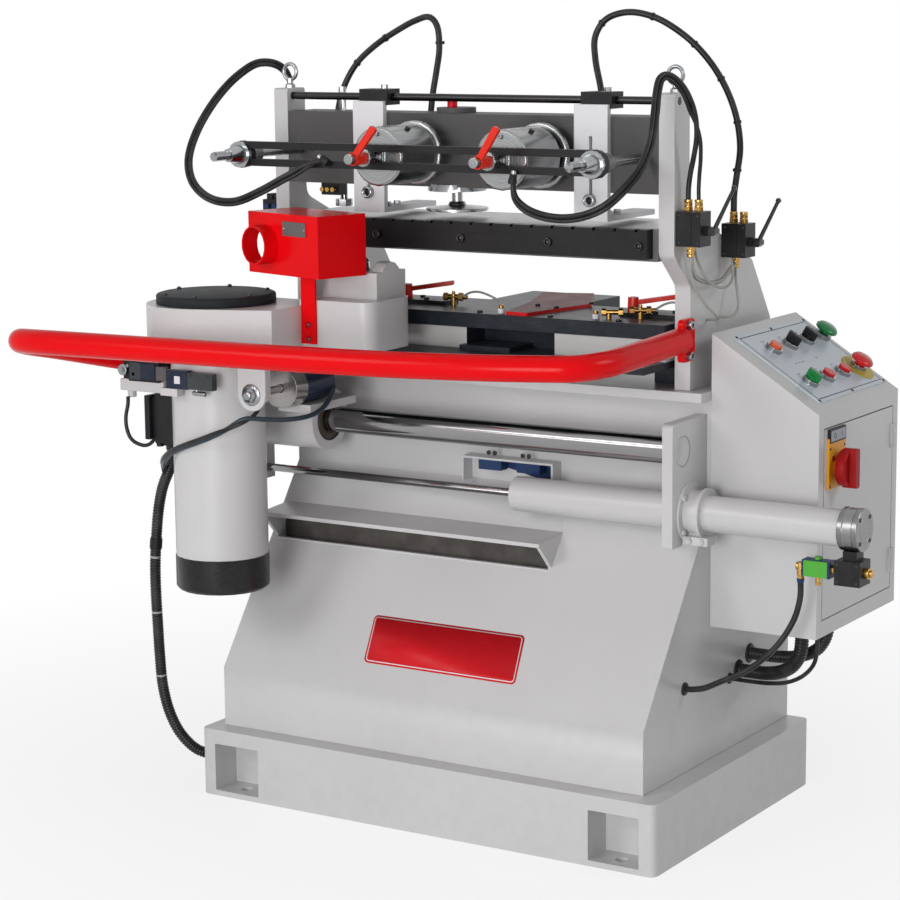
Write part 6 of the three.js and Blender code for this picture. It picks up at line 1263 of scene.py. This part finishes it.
class MachineTemplates(bpy.types.Operator):
    """Finishes the template deck, its plates and levers"""
    bl_idname = "machine.templates"
    bl_label = "Template deck"

    def execute(self, context):
        dress("template_base", "dark_plate", "white_worn", soft=0.7, where=lambda c, n: int(
            c.z > 793.5 and (c.x < -37.5 or c.x > 136.5) and c.y > -61))

        def on_plate(c, n):
            """Dark plate, tinted wedge with its red edge, and black clamp plates."""
            if c.z < PLATE_TOP + 0.3:
                return 0
            if 10 < c.y < 58 and (-233 < c.x < -125 or 220 < c.x < 328):
                return 3
            return 1 if n.z > 0.5 else 2
        dress("template_plate", "dark_plate", "wedge_dull", "cap_red", "black_steel", soft=0.5,
              where=on_plate)
        for side in SIDES:
            dress("template_lever_" + side, "lever", soft=0.9)

        shape = Shape("screw")
        for x, y in ((-340, -40), (-190, -46), (-20, -44), (120, -46), (250, -46), (325, 100), (-340, 100)):
            shape.at(x, y, PLATE_TOP).socket_screw(5, 3)
        for x, y in ((46, 40), (92, 24), (116, 104)):
            shape.at(x, y, PLATE_TOP + 6).socket_screw(4.4, 3.5)
        shape.piece("template_screws", "frame", "dark_steel", soft=0)

        # brass valves with their thin lines
        for side, x, y, turn in (("left", -112, 22, 12), ("right", 272, -6, 30)):
            shape = Shape("brass").at(x, y, 869, spin(turn) @ along("x"))
            shape.hexagon(12, -20, -12).rod(5, -13, 9, 20).hexagon(13, 8, 16)
            shape.rod(4.2, 15, 24, 18, chamfer=0.6)
            shape.at(x - 2, y, 852, spin(turn)).rod(5.4, 0, 22, 20).rod(3, 22, 27, 16, chamfer=0.6)
            shape.piece("template_valve_" + side, "frame", "zinc", soft=0.3)
            hose("template_line_" + side, smooth_route(TEMPLATE_LINE_ROUTES[side]), 2.0, finish="tube_clear")

        # white seats with brass plugs, and the brass union beside the right one
        shape = Shape("white")
        for x, y in ((24, -46), (204, -40)):
            shape.wear("white").at(x, y, PLATE_TOP).rod(6, 0, 9, 20, chamfer=0.8)
            shape.wear("brass").rod(4.4, 8.5, 15, 18, chamfer=0.8)
        shape.at(228, -26, 866, spin(24) @ along("x"))
        shape.hexagon(11, -18, -10).rod(4.4, -11, 12, 18).hexagon(12, 10, 18)
        shape.at(222, -28, 852).rod(4.6, 0, 14, 18)
        shape.piece("template_fittings", "frame", "zinc", soft=0.3)
        return {"FINISHED"}


class MachineFeed(bpy.types.Operator):
    """Finishes the feed cylinder and makes its end cap, speed control and fittings"""
    bl_idname = "machine.feed"
    bl_label = "Feed cylinder"

    def execute(self, context):
        dress("feed_cylinder", "enamel", soft=1.4)
        dress("piston_rod", "chrome_x", soft=0.4)

        # clamp foot under the collar, with its two bolts
        shape = Shape("enamel").slab((404, -112, 505), (449, -84, 519))
        for x in (415, 437):
            shape.at(x, -111.8, 512, "-y").hexagon(11, 0, 4).rod(3.6, 4, 5.4, 18)
        shape.piece("collar_foot", "frame", "paint", soft=0.8)

        # turned end cap with four screws
        x, y, z = extent("feed_cylinder")[1].x + 0.3, FEED.y, FEED.z
        shape = Shape("face_end").at(x, y, z, "x")
        shape.lathe([(0, 0), (34, 0), (35, 1), (35, 9), (34.2, 10), (34.2, 25), (35, 26), (35, 34),
                     (33.8, 35), (22, 35), (21.4, 34.2), (20.8, 35), (0, 35)], 56)
        shape.wear("screw")
        for out, up in circle(27, 4, 45):
            shape.at(x + 34.7, y + out, z + up, "x").socket_screw(3.6, 1.4)

        # black speed control block under the cap
        shape.wear("black").at().slab((664.8, y - 21, 464), (708.8, y + 21, 504))
        shape.slab((676, y - 14, 503), (700, y + 14, 519)).wear("screw")
        for screw_z in (470, 498):
            for screw_x in (670, 703):
                shape.at(screw_x, y - 21, screw_z, "-y").button_screw(2.6, 1.4)
        line = 484
        shape.wear("brass").at(708.6, y, line, "x").rod(9, 0, 9, 24, chamfer=0.8)
        shape.rod(6, 9, 14, 20, chamfer=0.8)

        # green flow valve with its blue ends, then the brass elbow down to the feed hose
        shape.wear("anodised").at().slab((608, y - 12.4, 471), (649, y + 12.4, 497))
        shape.wear("blue").slab((604.8, y - 12, 470), (608.2, y + 12, 498))
        shape.slab((648.8, y - 12, 470), (652.8, y + 12, 498)).slab((608, y - 10, 495), (649, y + 10, 498))
        shape.wear("anodised").at(628.8, y, 498).rod(6, 0, 5, 20)
        shape.wear("brass").at(652.6, y, line, "x").hexagon(13, 0, 5).rod(5, 5, 12.4, 18)
        shape.at(628.8, y, 470, "-z").rod(4.5, 0, 10, 18, chamfer=0.6).hexagon(9, 10, 14)
        shape.at(604.9, y, line, "-x").hexagon(12, 0, 4).rod(6.4, 4, 14, 20, chamfer=1.0)
        elbow = FEED_HOSE_ROUTE[0][0]
        shape.at(elbow, y, 491, "-z").rod(6.4, 0, 22, 20, chamfer=1.0).hexagon(11, 21, 27)
        shape.wear("blue").at(elbow, y, 464, "-z").rod(6.6, 0, 7, 20, tip=5.6, chamfer=0.6)
        shape.piece("end_cap_and_valves", "frame", "zinc", ["cylinder_end_cap"], soft=0.4)
        return {"FINISHED"}


# The sloped panel's own frame, from its upper front corner: x down the slope, y to the back, z out
PANEL = Matrix(((0.8460, 0, 0.5332, 410.3), (0, 1, 0, -23), (-0.5332, 0, 0.8460, 841), (0, 0, 0, 1)))
STOP_BUTTON = (159, 282)
LEGEND_LOW, LEGEND_HIGH = (28, 50), (198, 307)


class MachineControls(bpy.types.Operator):
    """Finishes the control cabinet, its switches and buttons"""
    bl_idname = "machine.controls"
    bl_label = "Control cabinet"

    def dress_nodes(self):
        inverse = PANEL.inverted()

        def on_cabinet(c, n):
            """Legend plate, bright bezels and the yellow disc on the sloped panel."""
            place = inverse @ c
            on_side = n.dot(PANEL.col[2].xyz) < 0.5 and 30 < place.x < 190 and 60 < place.y < 312
            if place.z > 2.4 or (place.z > 0.3 and on_side):
                out = math.hypot(place.x - STOP_BUTTON[0], place.y - STOP_BUTTON[1])
                return 3 if out < 27.5 and place.z < 4.6 else 2
            return int(place.z > 0.3 and 20 < place.x < 206 and 42 < place.y < 315)
        dress("control_cabinet", "enamel", "legend", "bright", "yellow_disc", soft=1.2, where=on_cabinet)
        dress("cabinet_door", "enamel", "yellow", soft=1.0, where=lambda c, n: int(
            c.x > 602.9 and abs(c.y - SWITCH.y) < 34 and 592.5 < c.z < 677.5))
        dress("main_switch", "knob_red", soft=2.4)
        for finish, nodes in (("cap_orange", ("push_button_orange",)),
                              ("cap_red", ("push_button_red", "push_button_red_second", "stop_mushroom")),
                              ("black", ("selector_first", "selector_second")),
                              ("cap_green", ("selector_green", "start_mushroom"))):
            for node in nodes:
                dress(node, finish, soft=0.6)

    def make_legend(self):
        """The printed frame, ticks and screws of the legend plate, and the disc under the stop button."""
        low, high, line, bottom, top = LEGEND_LOW, LEGEND_HIGH, 1.6, 1.8, 2.45
        shape = Shape("fine_line").at(0, 0, 0, PANEL)
        for x in (low[0], high[0] - line):
            shape.slab((x, low[1], bottom), (x + line, high[1], top))
        for y in (low[1], high[1] - line):
            shape.slab((low[0], y, bottom), (high[0], y + line, top))
        for x, half, places in ((48, 5, (105, 170, 235, 300)), (136, 5, (87, 152, 217)),
                                (113, 4, (118, 132, 146, 200))):
            for y in places:
                shape.slab((x - 1, y - half, bottom), (x, y + half, top))
        shape.wear("screw")
        for x in (24.6, 201.4):
            for y in (47, 178.5, 310):
                shape.at(0, 0, 0, PANEL @ Matrix.Translation((x, y, 2.2))).button_screw(3.0, 1.6)
        shape.piece("legend_marks", "frame", "black_plastic", soft=0)
        shape = Shape("yellow_disc").at(0, 0, 0, PANEL @ Matrix.Translation((*STOP_BUTTON, 0)))
        shape.sleeve(31, 26, 2.2, 4.4, 48)
        shape.piece("stop_disc", "frame", "signal_orange", soft=0.4)

    def make_main_switch_trim(self):
        """The label with its ring and bar for off and on, the switch plate's screws, the knob's rim."""
        y = SWITCH.y
        shape = Shape("black").slab((602.0, y - 31, 669), (607.6, y + 31, 692))
        shape.wear("grey_label").slab((606.6, y - 28, 672), (608.1, y + 28, 689))
        shape.wear("fine_line").at(607.9, y - 14, 680.5, "x").sleeve(4.6, 3.4, 0, 0.5, 24)
        shape.at().slab((607.9, y + 12.6, 676), (608.4, y + 13.8, 685))
        shape.wear("knob_red").slab((606, y - 21, 639), (607.4, y - 13, 647)).wear("screw")
        for z in (598, 660):
            for out in (-28, 28):
                shape.at(606.2, y + out, z, "x").button_screw(2.6, 1.3)
        shape.piece("switch_label", "door", "signal_orange", soft=0.2)
        shape = Shape("knob_red").at(613, y, SWITCH.z, "x")
        shape.lathe([(0, 0), (27, 0), (30, 2), (30, 15), (28.6, 17.6), (25.4, 18.6), (22, 17.2), (0, 17.2)],
                    48)
        shape.piece("main_switch_rim", "main_switch", "switch_red", soft=0)

    def execute(self, context):
        self.dress_nodes()
        self.make_legend()
        self.make_main_switch_trim()
        return {"FINISHED"}


# Each hand valve's depth and the height of its underside
VALVES = {"front": (-77, 988), "rear": (89, 956)}
VALVE_HEIGHT = 56
VALVE_DROP_X = 397.9


class MachineAir(bpy.types.Operator):
    """Finishes the hand valves and makes their fittings"""
    bl_idname = "machine.air"
    bl_label = "Hand valves"

    def execute(self, context):
        def on_valves(c, n):
            """Black blocks, brass fittings above and below, thin lines under them."""
            y, low = VALVES["front" if c.y < 10 else "rear"]
            if c.z > low + VALVE_HEIGHT + 0.2:
                return 1
            if c.z < low - 0.2:
                return 1 if math.hypot(c.x - VALVE_DROP_X, c.y - y) < 7 and c.z > low - 17 else 2
            return 0
        dress("hand_valves", "black", "brass", "tube_clear", soft=0.6, where=on_valves)
        shape = Shape("brass")
        for y, low in VALVES.values():
            shape.wear("brass")
            for x in (393.5, 412):
                shape.at(x, y, low + VALVE_HEIGHT).hexagon(14, 1, 7).rod(6.6, 7, 9, 20).hexagon(13, 9, 14)
                shape.rod(6.8, 14.4, 19, 24, chamfer=0.8)
            shape.at(VALVE_DROP_X, y, low, "-z").hexagon(14, 0.4, 6).rod(6.6, 6, 9, 20).hexagon(12, 9, 13)
            shape.rod(6.2, 13, 18, 20, chamfer=0.8).wear("screw")
            for x in (386, 419):
                for z in (low + 6, low + 50):
                    shape.at(x, y - 19, z, "-y").button_screw(2.4, 1.2)
            shape.wear("black").at().slab((398, y - 20.4, low + 4), (408, y - 18.6, low + 52))
        shape.piece("valve_fittings", "frame", "black_plastic", soft=0.3)
        for side in VALVES:
            dress("valve_lever_" + side, "lever_steel", soft=0.8)
        return {"FINISHED"}


OPERATORS = (MachineStage, MachineHoses, MachineCastings, MachineGuard, MachineClamps, MachineHead,
             MachineTemplates, MachineFeed, MachineControls, MachineAir)


class MachinePanel(bpy.types.Panel):
    bl_idname = "VIEW3D_PT_machine"
    bl_label = "Dovetailing machine"
    bl_space_type = "VIEW_3D"
    bl_region_type = "UI"
    bl_category = "Machine"

    def draw(self, context):
        for settings in (context.scene.machine_sizes, context.scene.machine_colours):
            column = self.layout.column()
            for name in settings.__annotations__:
                column.prop(settings, name)
        for operator in OPERATORS:
            self.layout.operator(operator.bl_idname)


CLASSES = (MachineSizes, MachineColours) + OPERATORS + (MachinePanel,)


def register():
    for cls in CLASSES:
        bpy.utils.register_class(cls)
    bpy.types.Scene.machine_sizes = bpy.props.PointerProperty(type=MachineSizes)
    bpy.types.Scene.machine_colours = bpy.props.PointerProperty(type=MachineColours)


def unregister():
    del bpy.types.Scene.machine_colours
    del bpy.types.Scene.machine_sizes
    for cls in reversed(CLASSES):
        bpy.utils.unregister_class(cls)


def main():
    register()
    scene = bpy.context.scene
    scene.view_settings.view_transform = "Standard"
    F.update(make_finishes())
    for operator in OPERATORS:
        group, name = operator.bl_idname.split(".")
        getattr(getattr(bpy.ops, group), name)()
    bpy.context.view_layer.update()


if __name__ == "__main__":
    main()
